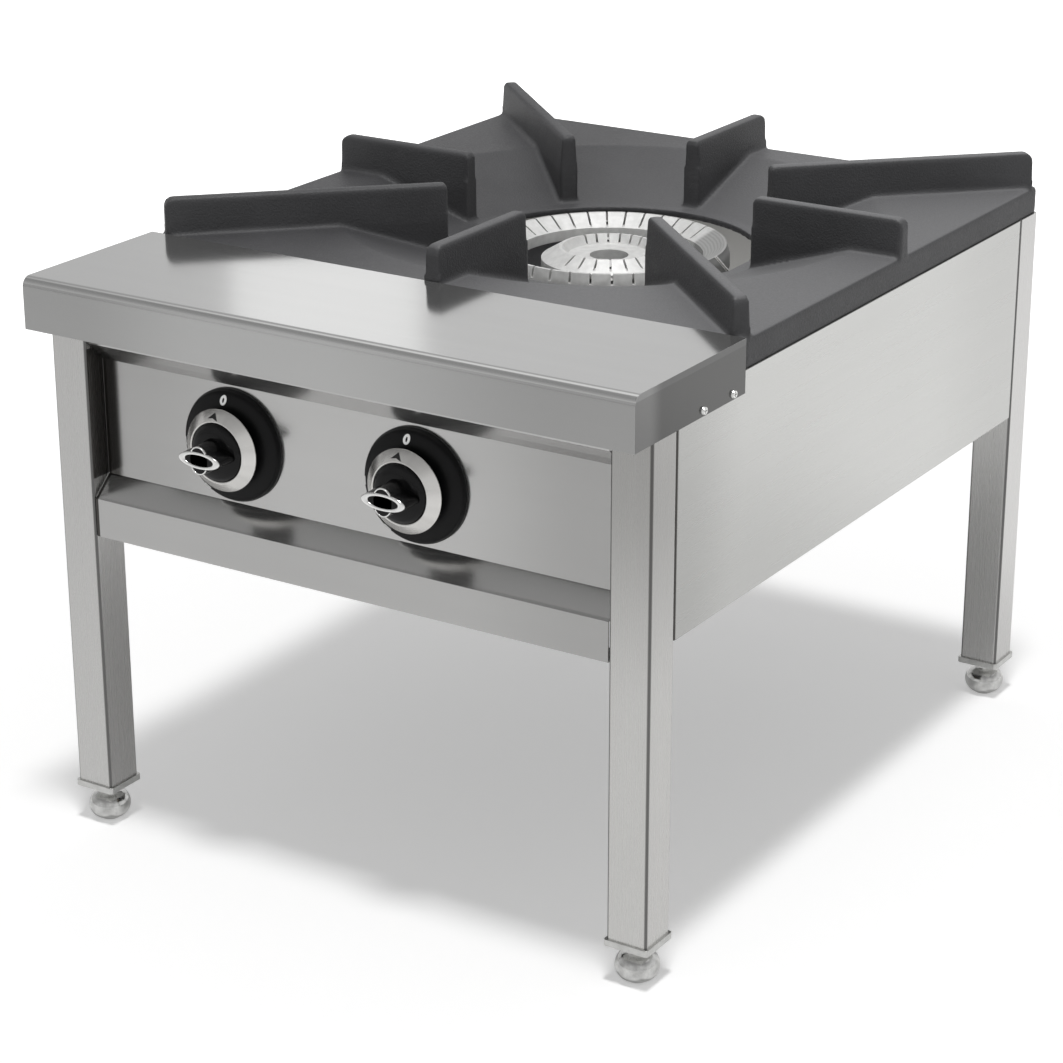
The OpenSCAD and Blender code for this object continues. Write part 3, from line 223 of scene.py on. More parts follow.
softbox("softbox_over", (1.05, -1.5, 9.0), (0, 0, 0.3), 1.1, 1.1, 430)
softbox("strip_behind", (-1.95, 2.27, 1.45), (0, -0.3, 0.52), 0.37, 0.9, 0.46)

# Studio flag. A disc that nothing but shadow rays can see hangs under the burner. It keeps the light that
# falls through the grate's hole off the floor, so the shadow there stays even.
burner_y = 0.086
flag = disc("studio_flag", 0.17, 48)
flag.location = (0, burner_y, 0.375)
flag.visible_camera = False
flag.visible_glossy = False
flag.visible_diffuse = False
flag.visible_transmission = False

# Legs. Four square tubes of stainless steel, ground and brushed along their length.
# The panels and the rails are welded between them.
def noise(tree, place, scale, detail=2.0, harsh=0.5):
    """Even random spots of one size."""
    made = add_node(tree, "ShaderNodeTexNoise")
    for term, socket in ((place, "Vector"), (scale, "Scale"), (detail, "Detail"), (harsh, "Roughness")):
        feed(tree, term, made.inputs[socket])
    return made.outputs["Fac"]


def shaded(tone, share):
    return [min(1, c * share) for c in tone]


def two_tones(tree, value, low, high, dark, light):
    """The dark tone where the value is low, the light one where it is high."""
    made = add_node(tree, "ShaderNodeValToRGB")
    tree.links.new(value, made.inputs[0])
    start, end = made.color_ramp.elements
    start.position = low
    start.color = (*dark, 1)
    end.position = high
    end.color = (*light, 1)
    return made.outputs[0]


def relief(tree, height, strength, depth):
    """Small bumps by a height."""
    made = add_node(tree, "ShaderNodeBump")
    for term, socket in ((height, "Height"), (strength, "Strength"), (depth, "Distance")):
        feed(tree, term, made.inputs[socket])
    return made.outputs[0]


def over(tree, share, under, tone):
    """A tone laid over a colour by a share."""
    made = add_node(tree, "ShaderNodeMix", data_type="RGBA")
    made.inputs["B"].default_value = (*tone, 1)
    tree.links.new(share, made.inputs["Factor"])
    tree.links.new(under, made.inputs["A"])
    return made.outputs["Result"]


def surface(tree, colour, rough, bumps, metal=0.0, shine=0.5):
    """Ends a material with its colour, roughness and relief."""
    made = add_node(tree, "ShaderNodeBsdfPrincipled")
    for term, socket in ((colour, "Base Color"), (metal, "Metallic"), (rough, "Roughness"),
                         (shine, "Specular IOR Level"), (bumps, "Normal")):
        feed(tree, term, made.inputs[socket])
    tree.links.new(made.outputs[0], add_node(tree, "ShaderNodeOutputMaterial").inputs["Surface"])


def brushed_steel(name, grain, tone, rough=0.27, painted_corner_shade=0.0, painted_side_shade=0.0, shades=()):
    """Stainless steel with a fine grain that runs along one axis, and broad cloudy shades from rolling.

    A shade is a dark stretch: a painted shade where the steel mirrors something dark, or a dark joint. It
    gives its axis, where it starts and where it is full along that axis, its lowest and highest Z, and how
    dark it is.
    """
    made = new_material(name)
    tree = made.node_tree
    coords = add_node(tree, "ShaderNodeTexCoord").outputs
    place = coords["Object"]
    fine = [5 if axis == grain else 900 for axis in "XYZ"]
    broad = [0.6 if axis == grain else 60 for axis in "XYZ"]
    scratch = noise(tree, mapped(tree, place, "Scale", fine), 1.0, 3.0)
    bands = noise(tree, mapped(tree, place, "Scale", broad), 1.0)
    cloud = noise(tree, place, 7.0)
    shade = work_out(tree, "MULTIPLY_ADD", bands, 0.4, work_out(tree, "MULTIPLY", scratch, 0.1))
    shade = work_out(tree, "MULTIPLY_ADD", cloud, 0.35, shade)
    colour = two_tones(tree, shade, 0.32, 0.68, shaded(tone, 0.975), shaded(tone, 1.025))
    # Painted shade: the rounded corners of a tube, which face both X and Y, are darkened as a painted
    # reflection.
    if painted_corner_shade:
        facing = split(tree, coords["Normal"])
        both = work_out(tree, "ABSOLUTE", work_out(tree, "MULTIPLY", facing["X"], facing["Y"]))
        corner = fade(tree, both, 0.14, 0.42, 0.0, painted_corner_shade, "LINEAR")
        colour = over(tree, corner, colour, shaded(tone, 0.12))
    # Painted shade: faces that look along X are darkened towards the front and where seen at a slant, a
    # painted reflection of something dark.
    if painted_side_shade:
        sideways = work_out(tree, "ABSOLUTE", split(tree, coords["Normal"])["X"])
        skirt = fade(tree, sideways, 0.8, 0.98, 0.0, painted_side_shade, "LINEAR")
        front = fade(tree, split(tree, place)["Y"], -0.358, -0.335, 0.7, 1.0)
        slant = fade(tree, add_node(tree, "ShaderNodeLayerWeight").outputs["Facing"], 0.12, 0.44, 0.2, 1.0)
        painted_side_mask = work_out(tree, "MULTIPLY", work_out(tree, "MULTIPLY", skirt, front), slant)
        colour = over(tree, painted_side_mask, colour, shaded(tone, 0.12))
    # Each entry lays painted shade over a stretch, or draws a dark joint.
    for axis, clear, full, low, high, dark in shades:
        where = split(tree, place)
        above = work_out(tree, "GREATER_THAN", where["Z"], low)
        below = work_out(tree, "LESS_THAN", where["Z"], high)
        span = work_out(tree, "MULTIPLY", above, below)
        amount = work_out(tree, "MULTIPLY", span, fade(tree, where[axis], clear, full, 0.0, dark))
        colour = over(tree, amount, colour, (tone[0] * 0.09, tone[1] * 0.085, tone[2] * 0.08))
    # Painted highlight: white laid on the rolled folds between a top and a side face, a painted glint.
    if painted_side_shade:
        painted_fold_glint = work_out(tree, "MULTIPLY", fade(tree, sideways, 0.15, 0.5), fade(tree, sideways, 0.97, 0.85))
        colour = over(tree, painted_fold_glint, colour, (1, 1, 1))
    matt = fade(tree, scratch, 0.3, 0.7, rough - 0.015, rough + 0.02, "LINEAR")
    surface(tree, colour, matt, relief(tree, scratch, 0.03, 0.0001), metal=0.88)
    return made


def finish_node(name, material):
    for place in cad[name].material_slots:
        place.material = material


def soften(piece, width, angle=25):
    """Rolls the sharp edges of a folded or machined piece over to a small radius."""
    weld = piece.modifiers.new("weld", "WELD")
    weld.merge_threshold = 0.00001
    flat = piece.modifiers.new("flat", "DECIMATE")
    flat.decimate_type = "DISSOLVE"
    flat.angle_limit = math.radians(1)
    edge = piece.modifiers.new("edge", "BEVEL")
    edge.width = width
    edge.segments = 2
    edge.limit_method = "ANGLE"
    edge.angle_limit = math.radians(angle)
    edge.use_clamp_overlap = True
    shade = piece.modifiers.new("shade", "WEIGHTED_NORMAL")
    shade.keep_sharp = False


# The rounded corners of all four legs carry painted shade.
leg_steel = brushed_steel("leg_steel", "Z", (0.6, 0.595, 0.585), painted_corner_shade=0.85)
# The front left leg's inner face is painted dark in the recess behind the control face: painted shade.
leg_painted_shade = brushed_steel("leg_painted_shade", "Z", (0.6, 0.595, 0.585), painted_corner_shade=0.85,
                           shades=[("X", -0.2628, -0.2622, 0.338, 0.456, 0.92)])
# The front right leg is a lighter copy of the leg steel, darker towards its top: painted light and shade.
leg_painted_light_and_shade = brushed_steel("leg_painted_light_and_shade", "Z", (0.645, 0.64, 0.625), painted_corner_shade=0.85,
                        shades=[("Z", 0.24, 0.45, 0, 1, 0.37)])
finish_node("leg_front_left", leg_painted_shade)
finish_node("leg_front_right", leg_painted_light_and_shade)
for leg in ("leg_back_left", "leg_back_right"):
    finish_node(leg, leg_steel)

# Leg caps. Plain plugs of dark grey plastic, each moulded in one and pushed into the open top of a back
# tube, where the grate covers it.
def moulded_plastic(name, tone, rough, grain=0.2, shine=0.5):
    """Moulded plastic with the faint grain that a spark-eroded mould leaves."""
    made = new_material(name)
    tree = made.node_tree
    place = add_node(tree, "ShaderNodeTexCoord").outputs["Object"]
    pits = noise(tree, place, 900)
    wear = noise(tree, place, 55)
    colour = two_tones(tree, wear, 0.35, 0.65, shaded(tone, 0.85), shaded(tone, 1.15))
    matt = fade(tree, wear, 0, 1, rough - 0.06, rough + 0.06, "LINEAR")
    surface(tree, colour, matt, relief(tree, pits, grain, 0.00008), shine=shine)
    return made


cap_plastic = moulded_plastic("cap_plastic", (0.09, 0.09, 0.095), 0.5)
for cap in ("leg_cap_left", "leg_cap_right"):
    finish_node(cap, cap_plastic)
    soften(cad[cap], 0.0006)

# Foot plates. Zinc-plated steel squares, each with a plug that is pushed into the lower end of a tube.
# The plug is threaded for the levelling foot.
def plated_metal(name, tone, rough, mottle=0.1, mottle_size=120, dents=0.15):
    """Plated or bare metal with the mottled tone and small dents of a barrel finish."""
    made = new_material(name)
    tree = made.node_tree
    place = add_node(tree, "ShaderNodeTexCoord").outputs["Object"]
    spots = noise(tree, place, mottle_size, 4.0)
    fine = noise(tree, place, mottle_size * 5)
    colour = two_tones(tree, spots, 0.3, 0.7, shaded(tone, 1 - mottle), shaded(tone, 1 + mottle))
    matt = fade(tree, fine, 0.3, 0.7, max(0.05, rough - 0.07), rough + 0.08, "LINEAR")
    surface(tree, colour, matt, relief(tree, spots, dents, 0.0004), metal=1.0)
    return made


plate_zinc = plated_metal("plate_zinc", (0.6, 0.6, 0.585), 0.32)
for corner in ("front_left", "front_right", "back_left", "back_right"):
    finish_node("foot_plate_" + corner, plate_zinc)
    soften(cad["foot_plate_" + corner], 0.0008)

# Levelling feet. Each ball and its threaded stem are turned from one bar and plated bright.
# The stem screws up into the foot plate, and the flattened ball narrows to a small flat base.
def turned(name, outline, material, place, segments):
    """A solid of revolution about its own Z axis, from a list of (radius, height) in metres."""
    form = bmesh.new()
    rings = []
    for radius, height in outline:
        if radius < 1e-6:
            rings.append([form.verts.new((0, 0, height))])
        else:
            rings.append([
                form.verts.new((radius * math.cos(2 * math.pi * i / segments),
                                radius * math.sin(2 * math.pi * i / segments), height))
                for i in range(segments)
            ])
    for lower, upper in zip(rings, rings[1:]):
        for i in range(segments):
            a = lower[i % len(lower)]
            b = lower[(i + 1) % len(lower)]
            c = upper[(i + 1) % len(upper)]
            d = upper[i % len(upper)]
            corners = []
            for v in (a, b, c, d):
                if v not in corners:
                    corners.append(v)
            if len(corners) > 2:
                form.faces.new(corners)
    bmesh.ops.recalc_face_normals(form, faces=form.faces)
    for face in form.faces:
        face.smooth = True
    return finished(name, form, material, place)


def rounded(points, radius, steps):
    """The same outline with each corner taken off by a small arc, as a tool or a mould leaves it."""
    out = [points[0]]
    for before, corner, after in zip(points, points[1:], points[2:]):
        a = Vector(before)
        p = Vector(corner)
        b = Vector(after)
        r = min(radius, 0.45 * (a - p).length, 0.45 * (b - p).length)
        start = p + (a - p).normalized() * r
        end = p + (b - p).normalized() * r
        for k in range(steps + 1):
            t = k / steps
            q = (1 - t) ** 2 * start + 2 * t * (1 - t) * p + t * t * end
            out.append((q.x, q.y))
    out.append(points[-1])
    return out


ball_r = 0.019
ball_h = 0.0337
ball_base_r = 0.0102
ball_mid = 0.0134
stem_r = 0.006
stem_h = 0.044
thread_root_r = 0.00545
thread_pitch = 0.0012
foot_chrome = plated_metal("foot_chrome", (0.56, 0.56, 0.55), 0.15, mottle=0.26, mottle_size=110, dents=0.3)
foot_outline = [(0, 0), (ball_base_r - 0.0012, 0), (ball_base_r - 0.0003, 0.0005)]
for k in range(31):
    turn = math.radians(-66 + 118 * k / 30)
    foot_outline.append((ball_r * math.cos(turn) ** 0.7, ball_mid + ball_mid * math.sin(turn)))
foot_outline += [(0.0112, 0.0252), (0.0096, 0.0271), (0.0090, 0.0296), (0.0092, ball_h - 0.001)]
foot_outline += [(0.0086, ball_h), (stem_r, ball_h)]
for k in range(36):
    z = ball_h + thread_pitch * k + 0.0002
    foot_outline += [(stem_r, z), (thread_root_r, z + thread_pitch / 2)]
foot_outline += [(0.0052, ball_h + stem_h - 0.0004), (0.0044, ball_h + stem_h), (0, ball_h + stem_h)]
for corner in ("front_left", "front_right", "back_left", "back_right"):
    low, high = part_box("foot_" + corner)
    spot = Matrix.Translation(((low.x + high.x) / 2, (low.y + high.y) / 2, low.z))
    foot = turned("levelling_foot_" + corner, foot_outline, foot_chrome, spot, 64)
    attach(foot, "foot_" + corner)
    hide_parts("foot_" + corner)

# Side panels. Shallow trays of brushed stainless sheet, folded in all round and closed at the corners.
# They are welded between the legs and flush with them, with a fine dark joint at each end.
# The two narrow stretches at the panel's ends are its dark joints; the broad ones near the front and the back
# are painted shade.
side_steel = brushed_steel("side_steel", "Y", (0.6, 0.6, 0.585), rough=0.26,
                           shades=[("Y", -0.3078, -0.3086, 0, 1, 0.93), ("Y", 0.3358, 0.3366, 0, 1, 0.93),
                                   ("Y", -0.2, -0.3, 0, 1, 0.17), ("Y", 0.12, 0.32, 0, 1, 0.11)])
for side in ("left", "right"):
    finish_node("side_panel_" + side, side_steel)
    soften(cad["side_panel_" + side], 0.0005)

# Back panel, a tray between the back legs with a hole for the gas pipe, and the angle rails that tie the
# stand together under the deck. They are cut from the same stainless sheet.
back_steel = brushed_steel("back_steel", "X", (0.5, 0.495, 0.48), rough=0.32)
for name in ("back_panel", "front_cross_rail", "back_cross_rail"):
    finish_node(name, back_steel)
    soften(cad[name], 0.0004)

# Burner bars. Two flat mild steel bars across the stand, zinc plated, on which the burner stands.
# The brackets of the injectors and the thermocouples are bent from the same stock.
bar_zinc = plated_metal("bar_zinc", (0.42, 0.42, 0.41), 0.42, mottle=0.16, mottle_size=60)
for name in ("burner_bar_front", "burner_bar_back", "injector_bracket", "probe_brackets"):
    finish_node(name, bar_zinc)
    soften(cad[name], 0.0004)

# Front panel. The lower rail, the set-back control face and the slopes above and below it are folded
# from one stainless sheet, brushed from side to side.
# The narrow stretch near X -0.258 is the dark joint at the rail's left end. The others are painted shade: the
# control face's left end, both sides of the face, the rail and its right half, where the steel mirrors dark.
front_steel = brushed_steel("front_steel", "X", (0.6, 0.597, 0.59), rough=0.18, shades=[
    ("X", -0.244, -0.251, 0.337, 0.47, 0.85), ("X", -0.2578, -0.2586, 0, 1, 0.97),
    ("X", -0.06, -0.22, 0.337, 0.452, 0.24), ("X", 0.08, 0.23, 0.337, 0.452, 0.27),
    ("Z", 0.3222, 0.3212, 0, 0.3222, 0.15), ("X", 0.1, 0.24, 0, 0.3222, 0.14),
])
finish_node("front_panel", front_steel)
soften(cad["front_panel"], 0.0006)

# Shelf. One stainless sheet with a rolled front edge and a skirt on three sides.
# Its side skirts lap over the legs and the side panels and are screwed on.
# Painted shade: the side skirts and the skirts towards both ends are darkened, and the rolled folds get a
# painted glint.
shelf_steel = brushed_steel("shelf_steel", "X", (0.54, 0.54, 0.535), rough=0.12, painted_side_shade=0.86,
                            shades=[("X", 0.0, 0.24, 0, 0.5165, 0.29), ("X", -0.1, -0.25, 0, 0.5165, 0.25)])
finish_node("shelf", shelf_steel)


def rolled_sheet(name, node, material, radius):
    """The folded sheet with its outer corners rolled over, as the brake and the polishing leave them."""
    form = bmesh.new()
    form.from_mesh(cad[node].data)
    bmesh.ops.remove_doubles(form, verts=form.verts, dist=0.00001)
    bmesh.ops.dissolve_limit(form, angle_limit=math.radians(1), verts=form.verts, edges=form.edges)
    side = max(v.co.x for v in form.verts)
    front = min(v.co.y for v in form.verts)
    top = max(v.co.z for v in form.verts)
    near = 0.00005
    fold_h = 0.008
    bevel_from = 0.6
    smooth_to = 0.55
    corners = []
    for edge in form.edges:
        ends = [v.co for v in edge.verts]
        on_side = all(abs(abs(p.x) - side) < near for p in ends)
        on_top = all(p.z > top - fold_h for p in ends)
        in_front = all(p.y < front + near for p in ends)
        on_corner = on_side and (on_top or in_front)
        if on_corner and len(edge.link_faces) == 2 and edge.calc_face_angle() > bevel_from:
            corners.append(edge)
    bmesh.ops.bevel(form, geom=corners, offset=radius, segments=5, profile=0.5, affect="EDGES",
                    clamp_overlap=True)
    bmesh.ops.recalc_face_normals(form, faces=form.faces)
    for face in form.faces:
        face.smooth = True
        face.material_index = 0
    for edge in form.edges:
        edge.smooth = len(edge.link_faces) == 2 and edge.calc_face_angle() < smooth_to
    made = finished(name, form, material)
    shade = made.modifiers.new("shade", "WEIGHTED_NORMAL")
    shade.keep_sharp = True
    shade.weight = 80
    return made


folded_shelf = rolled_sheet("folded_shelf", "shelf", shelf_steel, 0.002)
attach(folded_shelf, "stand")
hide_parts("shelf")

# Skirt screws. Pan heads with a cross recess, plated bright, two through each side skirt of the shelf.
# Like ones hold the gas valves to the control face.
screw_chrome = plated_metal("screw_chrome", (0.78, 0.78, 0.77), 0.2, mottle=0.05)
finish_node("skirt_screws", screw_chrome)
finish_node("valve_screws", screw_chrome)
soften(cad["skirt_screws"], 0.0002)
soften(cad["valve_screws"], 0.0002)

# Burner bodies. Two ring channels of grey cast iron, one inside the other, and for each the tube that
# mixes its gas and air. They are sand-cast, left as cast, and stand on the two bars.
def cast_iron(name, tone, rough, grit, grit_size, painted_sheen=0.0):
    """Sand-cast iron: a fine gritty skin, broad cloudy patches and a slight shine."""
    made = new_material(name)
    tree = made.node_tree
    coords = add_node(tree, "ShaderNodeTexCoord").outputs
    place = coords["Object"]
    sand = noise(tree, place, grit_size, 5.0, 0.6)
    cloud = noise(tree, place, 14, 3.0)
    colour = two_tones(tree, cloud, 0.3, 0.7, shaded(tone, 0.85), shaded(tone, 1.15))
    # Painted light: faces that look up are lightened, more towards the right, where light from above and the
    # right falls.
    if painted_sheen:
        painted_top_light = fade(tree, split(tree, coords["Normal"])["Z"], 0.6, 0.98)
        right = fade(tree, split(tree, place)["X"], -0.2, 0.16)
        colour = over(tree, work_out(tree, "MULTIPLY", painted_top_light, right), colour, (painted_sheen, painted_sheen, painted_sheen * 1.03))
    matt = fade(tree, sand, 0.3, 0.7, rough - 0.08, rough + 0.08, "LINEAR")
    surface(tree, colour, matt, relief(tree, sand, grit, 0.0006))
    return made


body_iron = cast_iron("body_iron", (0.11, 0.11, 0.115), 0.6, 0.6, 420)
for name in ("outer_burner", "inner_burner", "outer_mixer", "inner_mixer"):
    finish_node(name, body_iron)
    soften(cad[name], 0.0012)

# Ring caps. Loose cast rings that sit on the burner bodies, turned bright on their slopes and sawn with
# radial slots for the flames.
def lathe_circles(tree, place, scale, wobble):
    """Fine circles about the Z axis, as a lathe or a brush leaves them."""
    made = add_node(tree, "ShaderNodeTexWave", wave_type="RINGS", rings_direction="Z")
    for term, socket in ((place, "Vector"), (scale, "Scale"), (wobble, "Distortion")):
        feed(tree, term, made.inputs[socket])
    return made.outputs["Fac"]


def angle_about(tree, place):
    """The angle about the Z axis, as a share of a whole turn."""
    made = add_node(tree, "ShaderNodeTexGradient", gradient_type="RADIAL")
    tree.links.new(place, made.inputs["Vector"])
    return made.outputs["Fac"]


def turned_cap(name, plain_low, plain_high):
    """Bright cast metal turned on a lathe: faint circles, and a duller stretch between two angles."""
    made = new_material(name)
    tree = made.node_tree
    place = add_node(tree, "ShaderNodeTexCoord").outputs["Object"]
    centred = mapped(tree, place, "Location", (0, -burner_y, 0))
    circles = lathe_circles(tree, centred, 110, 1.5)
    angle = angle_about(tree, centred)
    blur = 0.008
    start = fade(tree, angle, plain_low - blur, plain_low + blur)
    stop = fade(tree, angle, plain_high + blur, plain_high - blur)
    both = add_node(tree, "ShaderNodeMix", data_type="RGBA")
    tree.links.new(work_out(tree, "MULTIPLY", start, stop), both.inputs["Factor"])
    bright = two_tones(tree, noise(tree, place, 130, 3.0), 0.3, 0.7, (0.68, 0.68, 0.67), (0.8, 0.8, 0.79))
    tree.links.new(bright, both.inputs["A"])
    # The duller tone of the stretch between the two angles.
    dull_stretch_tone = two_tones(tree, circles, 0, 1, (0.36, 0.36, 0.355), (0.46, 0.46, 0.455))
    tree.links.new(dull_stretch_tone, both.inputs["B"])
    surface(tree, both.outputs["Result"], 0.6, relief(tree, circles, 0.05, 0.0001), metal=0.55)
    return made


# The outer cap is duller over its stretch without slots. The inner cap is bright all round, so its two
# angles lie outside a turn.
finish_node("outer_cap", turned_cap("outer_cap_metal", 0.444, 0.653))
finish_node("inner_cap", turned_cap("inner_cap_metal", -0.2, -0.1))
soften(cad["outer_cap"], 0.0004)
soften(cad["inner_cap"], 0.0004)

# Gas train. A steel manifold behind the control face turns to the back and ends in a brass inlet.
# Brass valves sit on it, and copper pipes run from them to the injectors, with a thermocouple beside each.
manifold_steel = plated_metal("manifold_steel", (0.5, 0.5, 0.49), 0.35, mottle=0.12, mottle_size=40)
brass = plated_metal("brass", (0.72, 0.52, 0.26), 0.3, mottle=0.1, mottle_size=60)
copper = plated_metal("copper", (0.72, 0.36, 0.22), 0.28, mottle=0.12, mottle_size=50)
probe_steel = plated_metal("probe_steel", (0.82, 0.81, 0.79), 0.22)
for name in ("gas_inlet", "injector_outer", "injector_inner", "valve_body_left", "valve_body_right",
             "valve_plug_left", "valve_plug_right"):
    finish_node(name, brass)
    soften(cad[name], 0.0005)
finish_node("manifold", manifold_steel)
for name in ("air_shutter_outer", "air_shutter_inner"):
    finish_node(name, plate_zinc)
    soften(cad[name], 0.0003)
for name in ("supply_pipe_outer", "supply_pipe_inner"):
    finish_node(name, copper)
    soften(cad[name], 0.0006, angle=8)
for name in ("thermocouple_outer", "thermocouple_inner"):
    finish_node(name, probe_steel)
    soften(cad[name], 0.0004, angle=8)
for name in ("spindle_left", "spindle_right"):
    finish_node(name, probe_steel)

# Grate. One iron casting: a square plate with a rim, a dish round the hole and eight pot ribs.
# Every corner is rounded by the pattern, and the whole is dipped in matt black enamel.
# The grate's faces that look up are lightened towards the right: painted light.
grate_enamel = cast_iron("grate_enamel", (0.056, 0.056, 0.059), 0.55, 0.9, 560, painted_sheen=0.17)
finish_node("grate", grate_enamel)
cast_skin = cad["grate"].modifiers.new("cast_skin", "REMESH")
cast_skin.mode = "VOXEL"
cast_skin.voxel_size = 0.002
cast_skin.use_smooth_shade = True
cast_soft = cad["grate"].modifiers.new("cast_soft", "SMOOTH")
cast_soft.factor = 0.5
cast_soft.iterations = 3

# Bezels. Each is a domed black disc of moulded plastic on the control face, with a white 0 and two
# short white marks printed on it.
face_y = -0.327
knob_z = 0.3905
knob_places = {"left": -0.120, "right": 0.067}
bezel_r = 0.050
bezel_h = 0.0105
dome_out_r = bezel_r - 0.0012
dome_in_r = 0.026
dome_foot_h = 0.0045
bezel_plastic = moulded_plastic("bezel_plastic", (0.007, 0.007, 0.0075), 0.4, shine=0.16)
print_white = plated_metal("print_white", (0.95, 0.95, 0.94), 0.5, mottle=0.02, mottle_size=300, dents=0.02)
print_black = moulded_plastic("print_black", (0.012, 0.012, 0.012), 0.4)


def on_face(side):
    """Frame of a knob: X to the right, Y up and Z out of the control face."""
    turn = Matrix(((1, 0, 0), (0, 0, -1), (0, 1, 0)))
    return Matrix.Translation((knob_places[side], face_y, knob_z)) @ turn.to_4x4()


def dome_height(radius):
    """Height of the bezel's face over the control face."""
    share = max(0.0, min(1.0, (radius - dome_in_r) / (dome_out_r - dome_in_r)))
    return dome_foot_h + (bezel_h - dome_foot_h) * math.sqrt(max(0.0, 1 - share ** 2.3))


bezel_outline = [(0.006, 0.0), (bezel_r - 0.0004, 0.0), (bezel_r, 0.0006), (bezel_r, 0.0026)]
for k in range(24):
    radius = dome_out_r - (dome_out_r - dome_in_r) * (k / 23) ** 2
    bezel_outline.append((radius, dome_height(radius)))
bezel_outline += [(0.0247, bezel_h), (0.024, bezel_h - 0.0008), (0.024, 0.0028), (0.0236, 0.0025)]
bezel_outline += [(0.006, 0.0025), (0.006, 0.0)]


def printed(name, outline, height_at, material, place):
    """A print of one colour that follows the face under it: an outline with a hole in it."""
    print_h = 0.0002
    sunk = 0.0004
    form = bmesh.new()
    outer, inner = outline
    count = len(outer)
    layers = []
    for lift in (-sunk, print_h):
        layers.append([
            [form.verts.new((x, y, height_at(math.hypot(x, y)) + lift)) for x, y in ring]
            for ring in (outer, inner)
        ])
    (low_out, low_in), (high_out, high_in) = layers
    for i in range(count):
        j = (i + 1) % count
        form.faces.new((high_out[i], high_out[j], high_in[j], high_in[i]))
        form.faces.new((low_out[j], low_out[i], low_in[i], low_in[j]))
        form.faces.new((low_out[i], low_out[j], high_out[j], high_out[i]))
        form.faces.new((low_in[j], low_in[i], high_in[i], high_in[j]))
    bmesh.ops.recalc_face_normals(form, faces=form.faces)
    return finished(name, form, material, place)


def polar(radius, degrees):
    """A point at an angle counted from 12 o'clock, to the left."""
    return Vector((-radius * math.sin(math.radians(degrees)), radius * math.cos(math.radians(degrees))))


def figure_zero():
    """The printed 0, leaning a little to the right, as an outline and its hole."""
    centre = polar(0.0414, 4.5)
    lean = 0.14
    outer, inner = [], []
    for k in range(40):
        turn = 2 * math.pi * k / 40
        for ring, half_w, half_h in ((outer, 0.0034, 0.0044), (inner, 0.001, 0.0022)):
            x = half_w * math.cos(turn)
            y = half_h * math.sin(turn)
            ring.append((centre.x + x + lean * y, centre.y + y))
    return outer, inner


def short_mark(start, end, radius, width):
    """A printed stroke along the bezel's edge, drawn as a ring that is filled to a thin line."""
    outer, inner = [], []
    points = [polar(radius, start + (end - start) * k / 6) for k in range(7)]
    for sign, run in ((1, points), (-1, points[::-1])):
        for p in run:
            out = p.normalized() * (sign * width / 2)
            outer.append((p.x + out.x, p.y + out.y))
            inner.append((p.x + out.x * 0.05, p.y + out.y * 0.05))
    return outer, inner


edge_marks = [(89, 98, 0.0475), (143, 152, 0.0472)]
mark_width = 0.0026
for side in ("left", "right"):
    bezel = turned("domed_bezel_" + side, bezel_outline, bezel_plastic, on_face(side), 128)
    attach(bezel, "stand")
    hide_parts("bezel_" + side)
    figure = printed("bezel_figure_" + side, figure_zero(), dome_height, print_white, on_face(side))
    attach(figure, "stand")
    for index, (start, end, radius) in enumerate(edge_marks):
        stroke = short_mark(start, end, radius, mark_width)
        mark = printed("bezel_mark_%s_%d" % (side, index), stroke, dome_height, print_white, on_face(side))
        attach(mark, "stand")

# Knob rings. A cone of aluminium round each knob, spun to shape and brushed in the round.
# It turns with the knob and carries a small black pointer, printed on its slope.
ring_out_r = 0.0364
ring_in_r = 0.027
knob_back = 0.0175
shoulder = 0.026
cone_foot_h = knob_back + 0.0012
cone_top_h = shoulder - 0.0008
cone_top_r = ring_in_r + 0.0012
cone_edge_r = ring_out_r - 0.0024


def spun_metal(name, tone, rough):
    """Metal brushed while it spins: fine circles, and rays of light and shade that fan out from the axis."""
    made = new_material(name)
    tree = made.node_tree
    place = add_node(tree, "ShaderNodeTexCoord").outputs["Object"]
    rays = add_node(tree, "ShaderNodeTexNoise", noise_dimensions="1D")
    for term, socket in ((angle_about(tree, place), "W"), (9.0, "Scale"), (3.0, "Detail")):
        feed(tree, term, rays.inputs[socket])
    colour = two_tones(tree, rays.outputs["Fac"], 0.34, 0.62, shaded(tone, 0.92), shaded(tone, 1.04))
    surface(tree, colour, rough, relief(tree, lathe_circles(tree, place, 900, 2.0), 0.08, 0.0001), metal=1.0)
    return made


ring_satin = spun_metal("ring_satin", (0.72, 0.71, 0.69), 0.24)
cone_outline = rounded([
    (cone_edge_r, knob_back), (ring_out_r, knob_back), (ring_out_r, cone_foot_h), (cone_top_r, cone_top_h),
    (ring_in_r + 0.0002, shoulder), (ring_in_r - 0.0012, shoulder - 0.0006), (cone_edge_r, cone_foot_h),
    (cone_edge_r, knob_back),
], 0.0004, 3)


def cone_height(radius):
    """Height of the silver cone's face over the control face."""
    rise = (cone_top_h - cone_foot_h) / (ring_out_r - cone_top_r)
    return cone_foot_h + (ring_out_r - radius) * rise


def pointer():
    """The black arrow on the cone: its outline, and the same drawn in to a speck for the hole."""
    tip = polar(0.0341, 5)
    left = polar(0.0299, 17)
    notch = polar(0.0299, 7)
    right = polar(0.0281, -4.5)
    outer = []
    for here, there in ((tip, left), (left, notch), (notch, right), (right, tip)):
        outer += [here, (here + there) / 2]
    centre = (tip + notch) / 2
    inner = [centre + (p - centre) * 0.03 for p in outer]
    return [tuple(p) for p in outer], [tuple(p) for p in inner]


